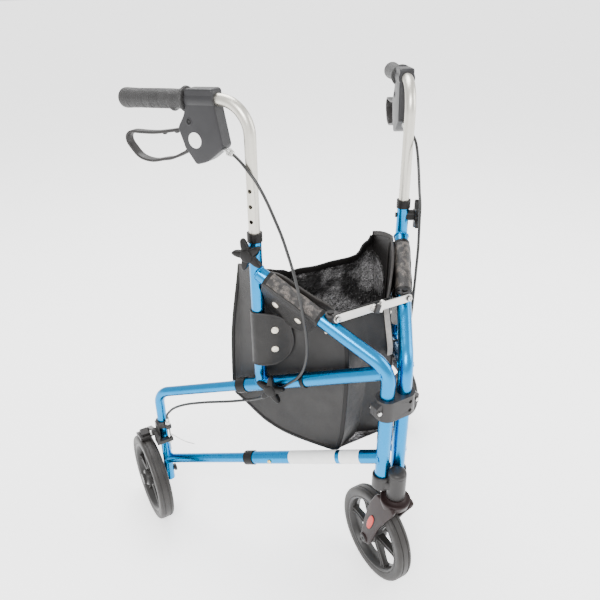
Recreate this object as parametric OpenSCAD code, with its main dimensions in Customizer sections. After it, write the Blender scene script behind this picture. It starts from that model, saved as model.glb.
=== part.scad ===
// Three wheel rollator that folds flat: two tube side frames turn on a caster head,
// a straight two-strip brace holds them apart and a soft bag hangs between them.
// Side pieces are drawn in their frame's own axes: X outward, Y rearward along the frame, Z up.

/* [Side frames] */
// Half of the angle between the two side frames when open
spread = 34.4; // [28:0.1:38]
// Distance between the axes of the two front uprights
pivot_gap = 35.6; // [32:0.1:44]
// Outside diameter of the frame tubes
tube_d = 25.4; // [24:0.1:27]
// Wall of the frame tubes
tube_wall = 1.6; // [1.2:0.1:2]
// Downward slope of the middle and lower rails
rail_angle = 21.5; // [18:0.5:24]
// Height of the middle rail's axis at the front upright
mid_rail_z = 501; // [480:1:520]
// Height of the lower rail's axis at the front upright
low_rail_z = 320; // [310:1:335]
// Upward slope of the diagonal
diag_angle = 28.6; // [24:0.2:32]
// Height where the diagonal's line meets the front upright
diag_z = 506; // [495:1:520]
// Bend radius from the front upright into the diagonal
diag_bend = 50; // [40:1:60]
// Distance from the front upright to the rear upright
upright_s = 241; // [220:1:260]
// Outside diameter of the rear upright
upright_d = 22.2; // [22:0.1:24]
// Top of the rear upright
upright_top = 697; // [690:1:720]
// Length of a rail's black collar
collar_h = 20; // [16:1:26]
// Length of the rear upright's black collar
top_collar_h = 15; // [13:1:20]
// Length of tube that sits in a collar
collar_lap = 8; // [5:1:12]

/* [Rear legs] */
// Distance from the front upright to the rear leg
leg_s = 490; // [460:1:520]
// Outside diameter of the rear leg tube
leg_d = 20; // [19:0.1:21]
// Wall of the rear leg tube
leg_wall = 1.5; // [1:0.1:2]
// Bend radius at the top of the rear leg
leg_bend = 40; // [32:1:50]
// Bottom end of the rear leg
leg_foot = 72; // [66:1:80]
// Where the middle rail's outer tube ends
mid_end_s = 279; // [272:1:300]
// Where the lower rail's outer tube ends
low_end_s = 272; // [262:1:295]
// Length of leg tube inside a rail
leg_inside = 84; // [80:1:100]
// Spring button's distance from the front upright
button_s = 224; // [222:1:240]
// Diameter of the spring button
button_d = 8; // [6:0.5:9]
// How far the spring button stands out of its rail
button_out = 3; // [2.8:0.1:4]

/* [Handles] */
// Outside diameter of the handle tube
handle_d = 19.05; // [18:0.05:20]
// Wall of the handle tube
handle_wall = 1.5; // [1:0.1:2]
// Length of the handle tube below its lowest hole
handle_tail = 34; // [28:1:40]
// Height where the handle's two straight runs would meet
handle_z = 915; // [890:1:930]
// Bend radius of the handle tube
handle_bend = 50; // [40:1:60]
// Downward slope of the handle's grip run
handle_droop = 3.7; // [0:0.1:8]
// Inward turn of the handle's grip run
handle_toe = 4.5; // [0:0.1:8]
// Diameter of the height holes
hole_d = 7; // [6:0.1:8]
// Pitch of the height holes
hole_pitch = 25.4; // [24:0.1:28]
// Number of height holes above the clamping knob
hole_count = 4; // [2:1:5]
// Height of the clamping knob on the rear upright
knob_z = 677; // [670:1:680]
// Where the grip starts along the handle
grip_from = 113; // [110:1:120]
// Length of the grip
grip_len = 138; // [120:1:145]
// Diameter of the grip
grip_d = 31; // [28:0.5:34]

/* [Brake lever] */
// Width of the brake housing
housing_w = 26; // [24:0.5:32]
// Width of the lever's loop strip
lever_w = 16; // [12:0.5:18]
// Width of the lever's root in the housing
root_w = 12; // [10:0.5:13]
// Diameter of the lever's pin
lever_pin_d = 6; // [5:0.5:7]

/* [Star knobs] */
// Diameter over the knob's lobes
knob_d = 58; // [44:1:62]
// Thickness of the knob's star
knob_h = 11; // [8:0.5:13]
// Number of lobes
knob_lobes = 5; // [3:1:7]
// Diameter of the knob's stud
stud_d = 6; // [5:0.5:8]
// Distance of the knob's star from the tube's axis
knob_out = 21; // [20:0.5:26]
// Distance of the leg knob from the front upright
leg_knob_s = 208; // [204:1:214]

/* [Caster head] */
// Outside diameter of the two upright sockets
socket_d = 34; // [32.5:0.5:35]
// Top of the sockets
socket_top = 280; // [276:1:285]
// Bottom of the head casting
head_z = 252; // [246:1:255]
// Thickness of the sockets' floor
socket_floor = 5; // [4:1:8]
// Distance of the caster stem in front of the uprights
stem_front = 22; // [21:1:28]
// Outside diameter of the stem boss
boss_d = 34; // [30:0.5:36]
// Height of the stem boss above the fork
boss_h = 61; // [57:1:66]
// Diameter of the caster stem
stem_d = 12; // [10:0.5:14]
// Middle height of the hinge clamp
clamp_z = 431; // [420:1:440]
// Height of the hinge clamp
clamp_h = 40; // [30:1:46]
// Wall of the hinge clamp around a tube
clamp_wall = 6.5; // [5:0.5:9]
// Diameter of the clamp screws
screw_d = 4; // [3:0.5:5]

/* [Wheels] */
// Diameter of the three wheels
wheel_d = 190; // [184:1:194]
// Width of a tyre
tyre_w = 30; // [26:0.5:32]
// Thickness of a tyre
tyre_t = 18; // [14:0.5:20]
// Depth of the tread grooves
groove_depth = 1.5; // [1:0.1:3]
// Number of spokes
spokes = 6; // [4:1:7]
// Diameter of a wheel hub
hub_d = 34; // [30:1:40]
// Width of a wheel hub
hub_w = 36; // [34:0.5:37]
// Diameter of the axles
axle_d = 10; // [8:0.5:12]
// Outside diameter of a wheel bearing
bearing_d = 22; // [19:0.5:24]
// Width of a wheel bearing
bearing_w = 7; // [5:0.5:9]
// Distance of a rear wheel's middle outside its leg
wheel_out = 38; // [36.5:0.5:46]
// Distance of the front axle behind the caster stem
trail = 48; // [44:1:54]
// Thickness of a fork leg
fork_t = 8; // [6:0.5:10]
// Top of the fork's crown
crown_top = 232; // [228:1:234]

/* [Rear brakes] */
// Gap between a brake shoe and its tyre
shoe_gap = 3.2; // [2.6:0.1:5]
// Thickness of a brake shoe
shoe_t = 6; // [4:0.5:8]
// Height of the brake shoe's pin
shoe_pin_z = 212; // [208:1:216]
// Diameter of the brake shoe's pin
shoe_pin_d = 6; // [5:0.5:7]
// Bottom of the brake bracket's sleeve
bracket_z = 184; // [182:1:188]
// Height of the brake bracket's sleeve
bracket_h = 54; // [50:1:58]
// Outside diameter of the brake cable
cable_d = 5; // [4.5:0.1:5.5]

/* [Fold brace] */
// Distance from the front upright to the brace's bracket
brace_s = 105; // [95:1:115]
// Width of a brace strip
strip_w = 14; // [12:0.5:16]
// Thickness of a brace strip
strip_t = 2.5; // [2:0.1:3]
// Diameter of the brace's pins
brace_pin_d = 5; // [4:0.5:6]

/* [Bag] */
// Thickness of the bag's cloth with its stiffener
cloth_t = 2.5; // [2:0.1:3]
// Distance of the bag's side panels inside the frame's plane
bag_in = 16; // [15:0.5:20]
// Front edge of a side panel
bag_front_s = 84; // [75:1:95]
// How far a side panel's front edge leans forward at its top
bag_front_lean = 11; // [0:1:14]
// Rear edge of a side panel
bag_rear_s = 313; // [300:1:325]
// How far a side panel's rear edge leans forward at its top
bag_lean = 28; // [0:1:35]
// Bottom of the bag at its front
bag_front_z = 286; // [280:1:310]
// Bottom of the bag at its rear
bag_rear_z = 346; // [330:1:355]
// How late the bottom rises towards the rear
bag_belly = 3.2; // [1:0.1:4]
// Top of the bag at its rear corners
bag_top_z = 632; // [605:1:640]

/* [Hidden] */
$fn = 64;
run_gap = 0.05;     // radial clearance of a pin or shaft that turns or slides
seat_gap = 0.1;     // clearance between pieces that are fixed together
clear_gap = 0.3;    // clearance between pieces that move past each other
eps = 1;            // extra length of a cut
bend_swell = 0.05;  // how much a tube's bend stands proud of its straight runs
bend_lap = 1;       // degrees by which a bend laps over its straight runs

e = pivot_gap / 2;
wheel_r = wheel_d / 2;
axle_z = wheel_r;
front_axle_y = trail - stem_front;
rear_axle_y = leg_s * cos(spread);
y_shift = -(front_axle_y + rear_axle_y) / 2;
rim_r = wheel_r - tyre_t;
grip_r = grip_d / 2;
knob_rod = knob_out - clear_gap;
holes_below = 2;    // height holes below the clamping knob
handle_foot = knob_z - holes_below * hole_pitch - handle_tail;

frame_blue = "dodgerblue";
silver = "silver";
black = [0.16, 0.16, 0.17];
grey = [0.3, 0.3, 0.31];
cloth = [0.12, 0.11, 0.11];

sides = ["left_", "right_"];
central = ["head_casting", "front_clamp", "rear_clamp", "clamp_screws", "bag_body", "caster_fork",
    "caster_stem", "fork_reflectors", "front_axle", "front_rim", "front_tyre", "front_bearings"];
paired = ["main_tube", "mid_rail", "lower_rail", "rear_upright", "tube_collars", "brace_bracket",
    "brace_link", "cable", "bag_side", "rear_leg", "brake_bracket", "brake_shoe", "rear_axle", "rear_rim",
    "rear_tyre", "rear_bearings", "handle_tube", "brake_housing", "grip", "cable_adjuster",
    "brake_lever", "height_knob", "leg_knob", "leg_button"];

// Heights along the sloping tubes
function rail_z(z, s) = z - s * tan(rail_angle);
function diag_at(s) = diag_z + s * tan(diag_angle);
// A point of a side frame in the whole object's axes
function frame_x(s, t) = e + s * sin(spread) + t * cos(spread);
function frame_y(s, t) = s * cos(spread) - t * sin(spread) + y_shift;
function unit(v) = v / norm(v);

// Middle of the diagonal's brace post, and the brace pin's place beside it
swivel_d = 18;
post_d = 15;
post_top = diag_at(brace_s + swivel_d / 2) + tube_d / 2 / cos(diag_angle) + 2 * clear_gap;
ear_x = -5;
ear_t = 4;
ear_y = -12;
swivel_h = 4;
brace_pin_z = post_top - 1;
brace_len = frame_x(brace_s, 0) + ear_x;

// Brake cable from the handle's adjuster, round the outside of the frame, to the rear brake
cable_route = [[-2.6, 274, 830], [2, 265, 827], [8.5, 253, 822], [14, 240, 813], [18, 224, 797],
    [20.5, 207, 772], [22, 190, 740], [23, 179, 718], [23, 171, 695], [23, 163, 670], [23, 156, 645],
    [22, 150, 615], [21, 145, 585], [20, 141, 555], [19, 139, 528], [18, 140, 504], [16, 145, 482],
    [13.5, 152, 464], [14.5, 162, 449], [16.5, 176, 436], [17, 190, 423], [15.5, 205, 407],
    [13.5, 220, 394], [12, 238, 382], [10.5, 260, 370], [10, 285, 359], [10, 310, 349], [10, 335, 340],
    [10, 360, 331], [10, 385, 321], [10, 408, 311], [10, 430, 299], [9.5, 448, 286], [8.6, 461, 272],
    [7.7, 469, 260], [7.7, 470, 252.5]];

// Places
module on(side) {
    if (side == "left_") on_left() children();
    else mirror([1, 0, 0]) on_left() children();
}
module on_left() translate([e, y_shift, 0]) rotate([0, 0, -spread]) children();
module centred() translate([0, y_shift, 0]) children();
// Axes of the whole object at a point of the frame, X still outward
module straight_at(s) translate([0, s, 0]) rotate([0, 0, spread]) children();
// Z along a rail, towards the rear
module along_rail(z, s) translate([0, s, rail_z(z, s)]) rotate([-90 - rail_angle, 0, 0]) children();
// Axes of the handle: Y along the grip in plan, Z up
module handle_axes() translate([0, upright_s, 0]) rotate([0, 0, handle_toe]) children();
// Z along the grip, towards its end
module along_handle(h) handle_axes() translate([0, 0, handle_z]) rotate([-90 - handle_droop, 0, 0])
    translate([0, 0, h]) children();
// Outline in Y and Z, of width w, middled on X
module plate(w, points) rotate([90, 0, 90]) linear_extrude(height = w, center = true) polygon(points);
module crosswise() rotate([0, 90, 0]) children();

// Round bar between two points
module rod(p, q, d) {
    v = q - p;
    translate(p) rotate([0, acos(v[2] / norm(v)), atan2(v[1], v[0])]) cylinder(d = d, h = norm(v));
}

// Round bar, or tube where it has a wall, from p to q with one bend at a corner.
// The bend is a little swollen and laps over its two straight runs.
module bent(p, corner, q, r, d, wall = 0) {
    u = unit(corner - p);
    w = unit(q - corner);
    turn = acos(u * w);
    reach = r * tan(turn / 2);
    n = unit(w - u * (u * w));
    k = cross(u, n);
    c = corner - u * reach + n * r;
    tube_rod(p, corner - u * reach, d, wall);
    multmatrix([for (i = [0:2]) [-n[i], u[i], k[i], c[i]]]) rotate([0, 0, -bend_lap])
        rotate_extrude(angle = turn + 2 * bend_lap) translate([r, 0]) difference() {
            circle(d = d + 2 * bend_swell);
            if (wall > 0) circle(d = d - 2 * wall - 2 * bend_swell);
        }
    tube_rod(corner + w * reach, q, d, wall);
}
module tube_rod(p, q, d, wall) difference() {
    rod(p, q, d);
    if (wall > 0) rod(p - eps * unit(q - p), q + eps * unit(q - p), d - 2 * wall);
}

module ring(d, bore, h) difference() {
    cylinder(d = d, h = h);
    translate([0, 0, -eps]) cylinder(d = bore, h = h + 2 * eps);
}

// Tubes of a side frame
mid_from_s = 0.4 * tube_d;
low_from_s = 0.2 * tube_d;
main_cope_d = max(upright_d + 2 * seat_gap, tube_d - 2 * tube_wall + 1);
module main_path(d, wall = 0) bent([0, 0, head_z + socket_floor + clear_gap], [0, 0, diag_z],
    [0, upright_s - 4, diag_at(upright_s - 4)], diag_bend, d, wall);
module front_rod(d) translate([0, 0, head_z]) cylinder(d = d, h = diag_z - diag_bend - head_z);
module diag_rod(d, from, to) rod([0, from, diag_at(from)], [0, to, diag_at(to)], d);
module rail_rod(d, z, from, to) rod([0, from, rail_z(z, from)], [0, to, rail_z(z, to)], d);
module upright_rod(d, over = 0) translate([0, upright_s, rail_z(mid_rail_z, upright_s)])
    cylinder(d = d, h = upright_top - rail_z(mid_rail_z, upright_s) + over);
module stud_bore(z, s) translate([0, s, z]) crosswise() cylinder(d = stud_d + 2 * run_gap, h = knob_out);

module main_tube() color(frame_blue) difference() {
    main_path(tube_d, tube_wall);
    upright_rod(main_cope_d, eps);
}

module mid_rail() color(frame_blue) difference() {
    rail_rod(tube_d, mid_rail_z, mid_from_s, mid_end_s);
    rail_rod(tube_d - 2 * tube_wall, mid_rail_z, 0, mid_end_s + eps);
    main_path(tube_d);
    stud_bore(rail_z(mid_rail_z, leg_knob_s), leg_knob_s);
}

module lower_rail() color(frame_blue) difference() {
    rail_rod(tube_d, low_rail_z, low_from_s, low_end_s);
    rail_rod(tube_d - 2 * tube_wall, low_rail_z, 0, low_end_s + eps);
    front_rod(tube_d);
    button_bore();
}

module rear_upright() color(frame_blue) difference() {
    upright_rod(upright_d);
    upright_rod(handle_d + 2 * run_gap, eps);
    rail_rod(tube_d, mid_rail_z, 0, mid_end_s);
    stud_bore(knob_z, upright_s);
}

// Collar over the end of an outer tube, with a bore for the tube that slides in it
collar_wall = 1.7;
top_lap = 5;
module collar(outer, bore, h, lap) difference() {
    cylinder(d = outer + 2 * collar_wall, h = h);
    translate([0, 0, -eps]) cylinder(d = outer + 2 * seat_gap, h = lap + eps);
    translate([0, 0, -eps]) cylinder(d = bore, h = h + 2 * eps);
}

// Black fittings fixed on the tubes: three collars, the two knob seats, the cable clip and the brace post
clip_s = 150;
height_seat_d = 20;
leg_seat_d = 12;
stud_end_d = 9;
stud_end_h = 3;
module tube_collars() color(black) {
    translate([0, upright_s, upright_top - top_lap])
        collar(upright_d, handle_d + 2 * clear_gap, top_collar_h, top_lap);
    for (end = [[mid_rail_z, mid_end_s], [low_rail_z, low_end_s]]) along_rail(end[0], end[1])
        translate([0, 0, -collar_lap]) collar(tube_d, leg_d + 2 * seat_gap, collar_h, collar_lap);
    along_rail(mid_rail_z, clip_s) ring(tube_d + 4, tube_d + 2 * seat_gap, 7);
    height_knob_seat();
    leg_knob_seat();
    brace_post();
}
module height_knob_seat() difference() {
    translate([0, upright_s, knob_z]) {
        translate([-upright_d / 2 - stud_end_h, 0, 0]) crosswise()
            cylinder(d = stud_end_d, h = upright_d / 2);
        crosswise() cylinder(d = height_seat_d, h = knob_rod);
    }
    upright_rod(upright_d + 2 * seat_gap, eps);
    stud_bore(knob_z, upright_s);
}
module leg_knob_seat() difference() {
    translate([0, leg_knob_s, rail_z(mid_rail_z, leg_knob_s)]) crosswise()
        cylinder(d = leg_seat_d, h = knob_rod);
    rail_rod(tube_d + 2 * seat_gap, mid_rail_z, 0, mid_end_s);
    stud_bore(rail_z(mid_rail_z, leg_knob_s), leg_knob_s);
}
module brace_post() translate([0, brace_s, 0]) {
    difference() {
        translate([0, 0, diag_at(brace_s)]) cylinder(d = post_d, h = post_top - diag_at(brace_s));
        translate([0, -brace_s, 0]) diag_rod(tube_d + 2 * seat_gap, brace_s - tube_d, brace_s + tube_d);
    }
    translate([0, 0, post_top - eps]) cylinder(d = stud_d, h = swivel_h + 2 * clear_gap + 2 * eps);
    translate([0, 0, post_top + swivel_h + 2 * clear_gap]) cylinder(d = 2 * stud_d - 1, h = 3);
}

// Bracket that swivels on the brace post and carries a strip's pin in front of its ear
module brace_bracket(layer) color(black) straight_at(brace_s) {
    link_y = ear_y - clear_gap - layer * (strip_t + clear_gap);
    difference() {
        union() {
            translate([0, 0, post_top + clear_gap]) cylinder(d = swivel_d, h = swivel_h);
            translate([ear_x - 8, ear_y, post_top + clear_gap])
                cube([16, ear_t - ear_y, swivel_h]);
            translate([ear_x - 8, ear_y, brace_pin_z - strip_w / 2]) cube([16, ear_t, strip_w + 1]);
        }
        translate([0, 0, post_top]) cylinder(d = stud_d + 2 * run_gap, h = swivel_h + eps);
        translate([0, 0, post_top + clear_gap + swivel_h])
            cylinder(d = 2 * stud_d + 2, h = strip_w + swivel_h);
    }
    translate([ear_x, 0, brace_pin_z]) rotate([90, 0, 0]) {
        translate([0, 0, -ear_y - ear_t / 2])
            cylinder(d = brace_pin_d, h = ear_y + ear_t / 2 - link_y + strip_t + clear_gap + eps);
        if (layer > 0) translate([0, 0, -ear_y - ear_t / 2])
            cylinder(d = brace_pin_d + 5, h = ear_y + ear_t / 2 - link_y - clear_gap);
        translate([0, 0, -link_y + strip_t + clear_gap]) cylinder(d = brace_pin_d + 5, h = 2.5);
    }
}

// One strip of the brace, from its bracket to the object's middle plane, with its half of the middle rivet
module brace_link(layer) color(silver) straight_at(brace_s) {
    link_y = ear_y - clear_gap - layer * (strip_t + clear_gap);
    translate([ear_x, link_y, brace_pin_z]) rotate([90, 0, 0]) {
        difference() {
            union() {
                cylinder(d = strip_w, h = strip_t);
                translate([-brace_len, 0, 0]) cylinder(d = strip_w, h = strip_t);
                translate([-brace_len, -strip_w / 2, 0]) cube([brace_len, strip_w, strip_t]);
            }
            translate([0, 0, -eps]) cylinder(d = brace_pin_d + 2 * run_gap, h = strip_t + 2 * eps);
        }
        translate([-brace_len, 0, layer > 0 ? strip_t : -1.5]) cylinder(d = brace_pin_d + 4, h = 1.5);
        if (layer > 0) translate([10 - brace_len, 0, strip_t]) finger_tab();
    }
}
module finger_tab() {
    rotate([0, 0, -20]) translate([-4.5, -strip_w / 2, 0]) cube([9, strip_w + 4, 5]);
    rotate([0, 0, -20]) translate([0, strip_w / 2 + 3, 0]) cylinder(d = 9, h = 5);
}

// Brake cable as one swept tube, with the bare wire through the brake
cable_sides = 8;
function spline(p, i, u) = let (
        a = p[max(i - 1, 0)], b = p[i], c = p[i + 1], d = p[min(i + 2, len(p) - 1)])
    0.5 * (2 * b + (c - a) * u + (2 * a - 5 * b + 4 * c - d) * u * u + (3 * b - a - 3 * c + d) * u * u * u);
function smooth(p) = concat([for (i = [0:len(p) - 2], u = [0, 0.5]) spline(p, i, u)], [p[len(p) - 1]]);
function heading(p, i) = unit(p[min(i + 1, len(p) - 1)] - p[max(i - 1, 0)]);
module sweep(p, d, n) {
    rings = [for (i = [0:len(p) - 1]) let (h = heading(p, i), a = unit(cross(h, [1, 0, 0])), b = cross(a, h))
        for (k = [0:n - 1]) p[i] + d / 2 * (cos(360 * k / n) * a + sin(360 * k / n) * b)];
    last = (len(p) - 1) * n;
    walls = [for (i = [0:len(p) - 2], k = [0:n - 1]) let (a = i * n + k, b = i * n + (k + 1) % n)
        each [[a, b, a + n], [b, b + n, a + n]]];
    ends = concat([for (k = [1:n - 2]) [0, k + 1, k]], [for (k = [1:n - 2]) [last, last + k, last + k + 1]]);
    polyhedron(rings, concat(walls, ends));
}
module cable() color(black) {
    sweep(smooth(cable_route), cable_d, cable_sides);
    straight_at(leg_s) translate([wire_x, wire_y, bracket_z + 2])
        cylinder(d = 1.6, h = barrel_z - bracket_z - 2);
}

// Side panel of the bag with the loops that hold it on the diagonal and the rear upright
loop_t = 2.5;
loop_gap = 0.4;
diag_loop = [122, 222];
upright_loop = [457, 562];
tab_drop = 46;
tab_sink = 0.4;
tab_hem = 2.5;
tab_w = diag_loop[1] - diag_loop[0];
tab_front_s = 176;
module bag_side() color(cloth) difference() {
    union() {
        translate([-bag_in - cloth_t / 2, 0, 0]) plate(cloth_t, bag_side_outline());
        diag_rod(tube_d + 2 * (loop_gap + loop_t), diag_loop[0], diag_loop[1]);
        translate([-bag_in - cloth_t / 2, diag_loop[0] + 8, diag_at(diag_loop[0]) - 2])
            cube([bag_in, 10, 12]);
        translate([-bag_in - cloth_t / 2, diag_loop[1] - 22, diag_at(diag_loop[1]) - 18])
            cube([bag_in, 10, 12]);
        translate([tube_d / 2 + loop_gap + loop_t / 2 - tab_sink, 0, 0]) plate(loop_t, [
            for (p = [[tab_hem, -2], [tab_w - tab_hem, -2], [tab_w - tab_hem, tab_drop - 8],
                [tab_w - 8, tab_drop],
                [16, tab_drop], [tab_hem, tab_drop - 22]])
            [diag_loop[0] + p[0], diag_at(diag_loop[0] + p[0]) - p[1]]]);
        translate([0, upright_s, upright_loop[0]])
            cylinder(d = upright_d + 2 * (loop_gap + loop_t), h = upright_loop[1] - upright_loop[0]);
        translate([-bag_in - cloth_t / 2, upright_s - 6, upright_loop[0]])
            cube([bag_in, 12, upright_loop[1] - upright_loop[0]]);
        translate([upright_d / 2 + loop_gap + loop_t / 2 - tab_sink, 0, 0]) plate(loop_t, [
            [upright_s, upright_loop[0]], [upright_s, upright_loop[1]], [tab_front_s + 16, upright_loop[1]],
            [tab_front_s, upright_loop[1] - 22], [tab_front_s, upright_loop[0] + 26],
            [tab_front_s + 24, upright_loop[0]]]);
    }
    diag_rod(tube_d + 2 * loop_gap, diag_loop[0] - 9, diag_loop[1] + 9);
    translate([0, upright_s, upright_loop[0] - eps])
        cylinder(d = upright_d + 2 * loop_gap, h = upright_loop[1] - upright_loop[0] + 2 * eps);
}
under_diag = 4;     // how far the panel's top edge lies below the diagonal's axis
tuck = 18;          // distance in front of the upright where the top edge leaves the diagonal
bag_corner = 12;
bag_steps = 8;
function bag_bottom(u) = [bag_front_s + u * (bag_rear_s - bag_front_s),
    bag_front_z + (bag_rear_z - bag_front_z) * pow(u, bag_belly)];
function bag_side_outline() = concat([[bag_front_s, bag_front_z + bag_corner]],
    [for (i = [1:bag_steps - 1]) bag_bottom(i / bag_steps)], [[bag_rear_s - bag_corner / 2, bag_rear_z],
    [bag_rear_s, bag_rear_z + 2 * bag_corner], [bag_rear_s - bag_lean / 6, (bag_rear_z + bag_top_z) / 2],
    [bag_rear_s - bag_lean, bag_top_z], [upright_s - tuck, diag_at(upright_s - tuck) - under_diag],
    [bag_front_s - bag_front_lean, diag_at(bag_front_s - bag_front_lean) - under_diag]]);

// Rear, bottom and front panels of the bag, between the side panels; the rear and front ones lean
bag_seam = 0.4;
bag_mouth_dip = 26;
bag_ear = 8;
function bag_w(s) = frame_x(s, -bag_in - cloth_t) - bag_seam;
function bag_y(s) = frame_y(s, -bag_in - cloth_t);
function wall_w(s) = bag_w(s) - cloth_t * tan(spread);
function wall_h(a, b) = norm([bag_y(b[0]) - bag_y(a[0]), b[1] - a[1]]);
module bag_wall(a, b) translate([0, bag_y(a[0]), a[1]])
    rotate([atan2(b[1] - a[1], bag_y(b[0]) - bag_y(a[0])), 0, 0]) linear_extrude(cloth_t) children();
module bag_body() color(cloth) {
    inset_u = bag_corner / 2 / (bag_rear_s - bag_front_s);
    rear_foot = bag_bottom(1 - inset_u);
    rear_top = [rear_foot[0] - bag_lean, bag_top_z];
    rear_h = wall_h(rear_foot, rear_top);
    top_w = wall_w(rear_top[0]);
    bag_wall(rear_foot, rear_top) polygon([
        [-wall_w(rear_foot[0]), 0], [wall_w(rear_foot[0]), 0], [top_w, rear_h],
            [top_w * 0.7, rear_h + bag_ear],
        [top_w * 0.45, rear_h - bag_mouth_dip], [-top_w * 0.45, rear_h - bag_mouth_dip],
        [-top_w * 0.7, rear_h + bag_ear], [-top_w, rear_h]]);
    front_foot = bag_bottom(inset_u);
    lip_s = front_foot[0] - bag_front_lean;
    lip = [lip_s, diag_at(lip_s) - bag_corner];
    front_h = wall_h(front_foot, lip);
    bag_wall(front_foot, lip) polygon([[-wall_w(front_foot[0]), 0], [wall_w(front_foot[0]), 0],
        [wall_w(lip_s), front_h], [-wall_w(lip_s), front_h]]);
    intersection() {
        rotate([90, 0, 90]) linear_extrude(4 * wall_w(bag_rear_s), center = true) polygon(concat(
            [for (i = [0:bag_steps]) let (p = bag_bottom(i / bag_steps)) [bag_y(p[0]), p[1]]],
            [for (i = [bag_steps:-1:0]) let (p = bag_bottom(i / bag_steps)) [bag_y(p[0]), p[1] + cloth_t]]));
        linear_extrude(2 * bag_top_z) polygon([for (m = [-1, 1], i = [0, 1])
            let (s = (m < 0 ? i : 1 - i) > 0 ? rear_foot[0] : bag_front_s) [m * bag_w(s), bag_y(s)]]);
    }
}

// Rear leg: bent tube that slides in the middle rail, with a bar that slides in the lower rail
module leg_path(d, wall = 0) bent(
    [0, mid_end_s - leg_inside, rail_z(mid_rail_z, mid_end_s - leg_inside)],
    [0, leg_s, rail_z(mid_rail_z, leg_s)], [0, leg_s, leg_foot], leg_bend, d, wall);
module button_bore() translate([0, button_s, rail_z(low_rail_z, button_s)]) crosswise()
    cylinder(d = button_d + 2 * run_gap, h = tube_d);
module rear_leg() color(frame_blue) difference() {
    union() {
        leg_path(leg_d, leg_wall);
        difference() {
            rail_rod(leg_d - 2 * bend_swell, low_rail_z, low_end_s - leg_inside,
                leg_s - leg_d / 2 + leg_wall / 2);
            rail_rod(leg_d - 2 * leg_wall, low_rail_z, low_end_s - leg_inside - eps, leg_s - leg_d);
        }
    }
    translate([0, leg_s, leg_foot - eps])
        cylinder(d = leg_d - 2 * leg_wall - 2 * bend_swell, h = 2 * leg_d + axle_z - leg_foot);
    button_bore();
    straight_at(leg_s) translate([-leg_d, 0, axle_z]) crosswise()
        cylinder(d = axle_d + 2 * seat_gap, h = 2 * leg_d);
}

// Button inside the lower bar, through both tubes' walls
module leg_button() color("gold") translate([0, button_s, rail_z(low_rail_z, button_s)]) crosswise() {
    translate([0, 0, 5]) cylinder(d = button_d, h = tube_d / 2 + button_out - 5 - 1);
    translate([0, 0, tube_d / 2 + button_out - 1]) cylinder(d1 = button_d, d2 = button_d - 2, h = 1);
    translate([0, 0, 3]) cylinder(d = button_d + 2, h = 2.5);
}

// Star knob on its stud: the star turns just outside its seat
knob_waist = 0.22;  // share of the knob's diameter between two lobes, from the axis
knob_tip = 0.07;    // share of the knob's diameter across a lobe's blunt end, from its middle
knob_crown = 2;
function knob_star(r) = [for (i = [0:knob_lobes - 1])
    let (a = 90 + i * 360 / knob_lobes, w = 180 / knob_lobes)
    each [r * [cos(a - w), sin(a - w)] * 2 * knob_waist,
        r * [cos(a), sin(a)] * 0.96 + knob_tip * 2 * r * [sin(a), -cos(a)],
        r * [cos(a), sin(a)], r * [cos(a), sin(a)] * 0.96 - knob_tip * 2 * r * [sin(a), -cos(a)]]];
module star_knob(tip) color(black) crosswise() {
    translate([0, 0, tip]) cylinder(d = stud_d, h = knob_out + 1 - tip);
    translate([0, 0, knob_out]) {
        linear_extrude(knob_h - 1) polygon(knob_star(knob_d / 2));
        cylinder(d = knob_d * 0.42, h = knob_h);
        translate([0, 0, knob_h]) cylinder(d1 = knob_d * 0.42, d2 = knob_d * 0.3, h = knob_crown);
    }
}
module height_knob() translate([0, upright_s, knob_z]) star_knob(handle_d / 2 + clear_gap);
module leg_knob() translate([0, leg_knob_s, rail_z(mid_rail_z, leg_knob_s)]) star_knob(leg_d / 2 + clear_gap);

// Handle tube with its row of height holes
grip_wall = 8;
module handle_tube() color([0.83, 0.81, 0.77]) difference() {
    bent([0, upright_s, handle_foot], [0, upright_s, handle_z],
        [0, upright_s, handle_z] + (grip_from + grip_len - grip_wall) * [-sin(handle_toe) * cos(handle_droop),
            cos(handle_toe) * cos(handle_droop), -sin(handle_droop)], handle_bend, handle_d, handle_wall);
    for (i = [-holes_below:hole_count]) translate([-handle_d, upright_s, knob_z + i * hole_pitch]) crosswise()
        cylinder(d = hole_d, h = 2 * handle_d);
}

// Grip with an end flange, finger rings and a closed round end
grip_flange = 20;
module grip() color(black) along_handle(grip_from) difference() {
    rotate_extrude() polygon(concat([[0, 0], [grip_flange - 1.5, 0], [grip_flange, 1.5], [grip_flange, 4],
        [grip_r + 0.5, 8], [grip_r - 1, 20]],
        [for (i = [0:5]) each [[grip_r - 0.5, 28 + i * 12], [grip_r + 0.4, 30 + i * 12],
            [grip_r + 0.4, 34 + i * 12], [grip_r - 0.5, 36 + i * 12]]],
        [[grip_r, grip_len - 26], [grip_r + 1, grip_len - 10], [grip_r - 2, grip_len - 3],
            [grip_r - 6, grip_len],
        [0, grip_len]]));
    translate([0, 0, -eps]) cylinder(d = handle_d + 2 * seat_gap, h = grip_len - grip_wall + eps + seat_gap);
}

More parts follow.
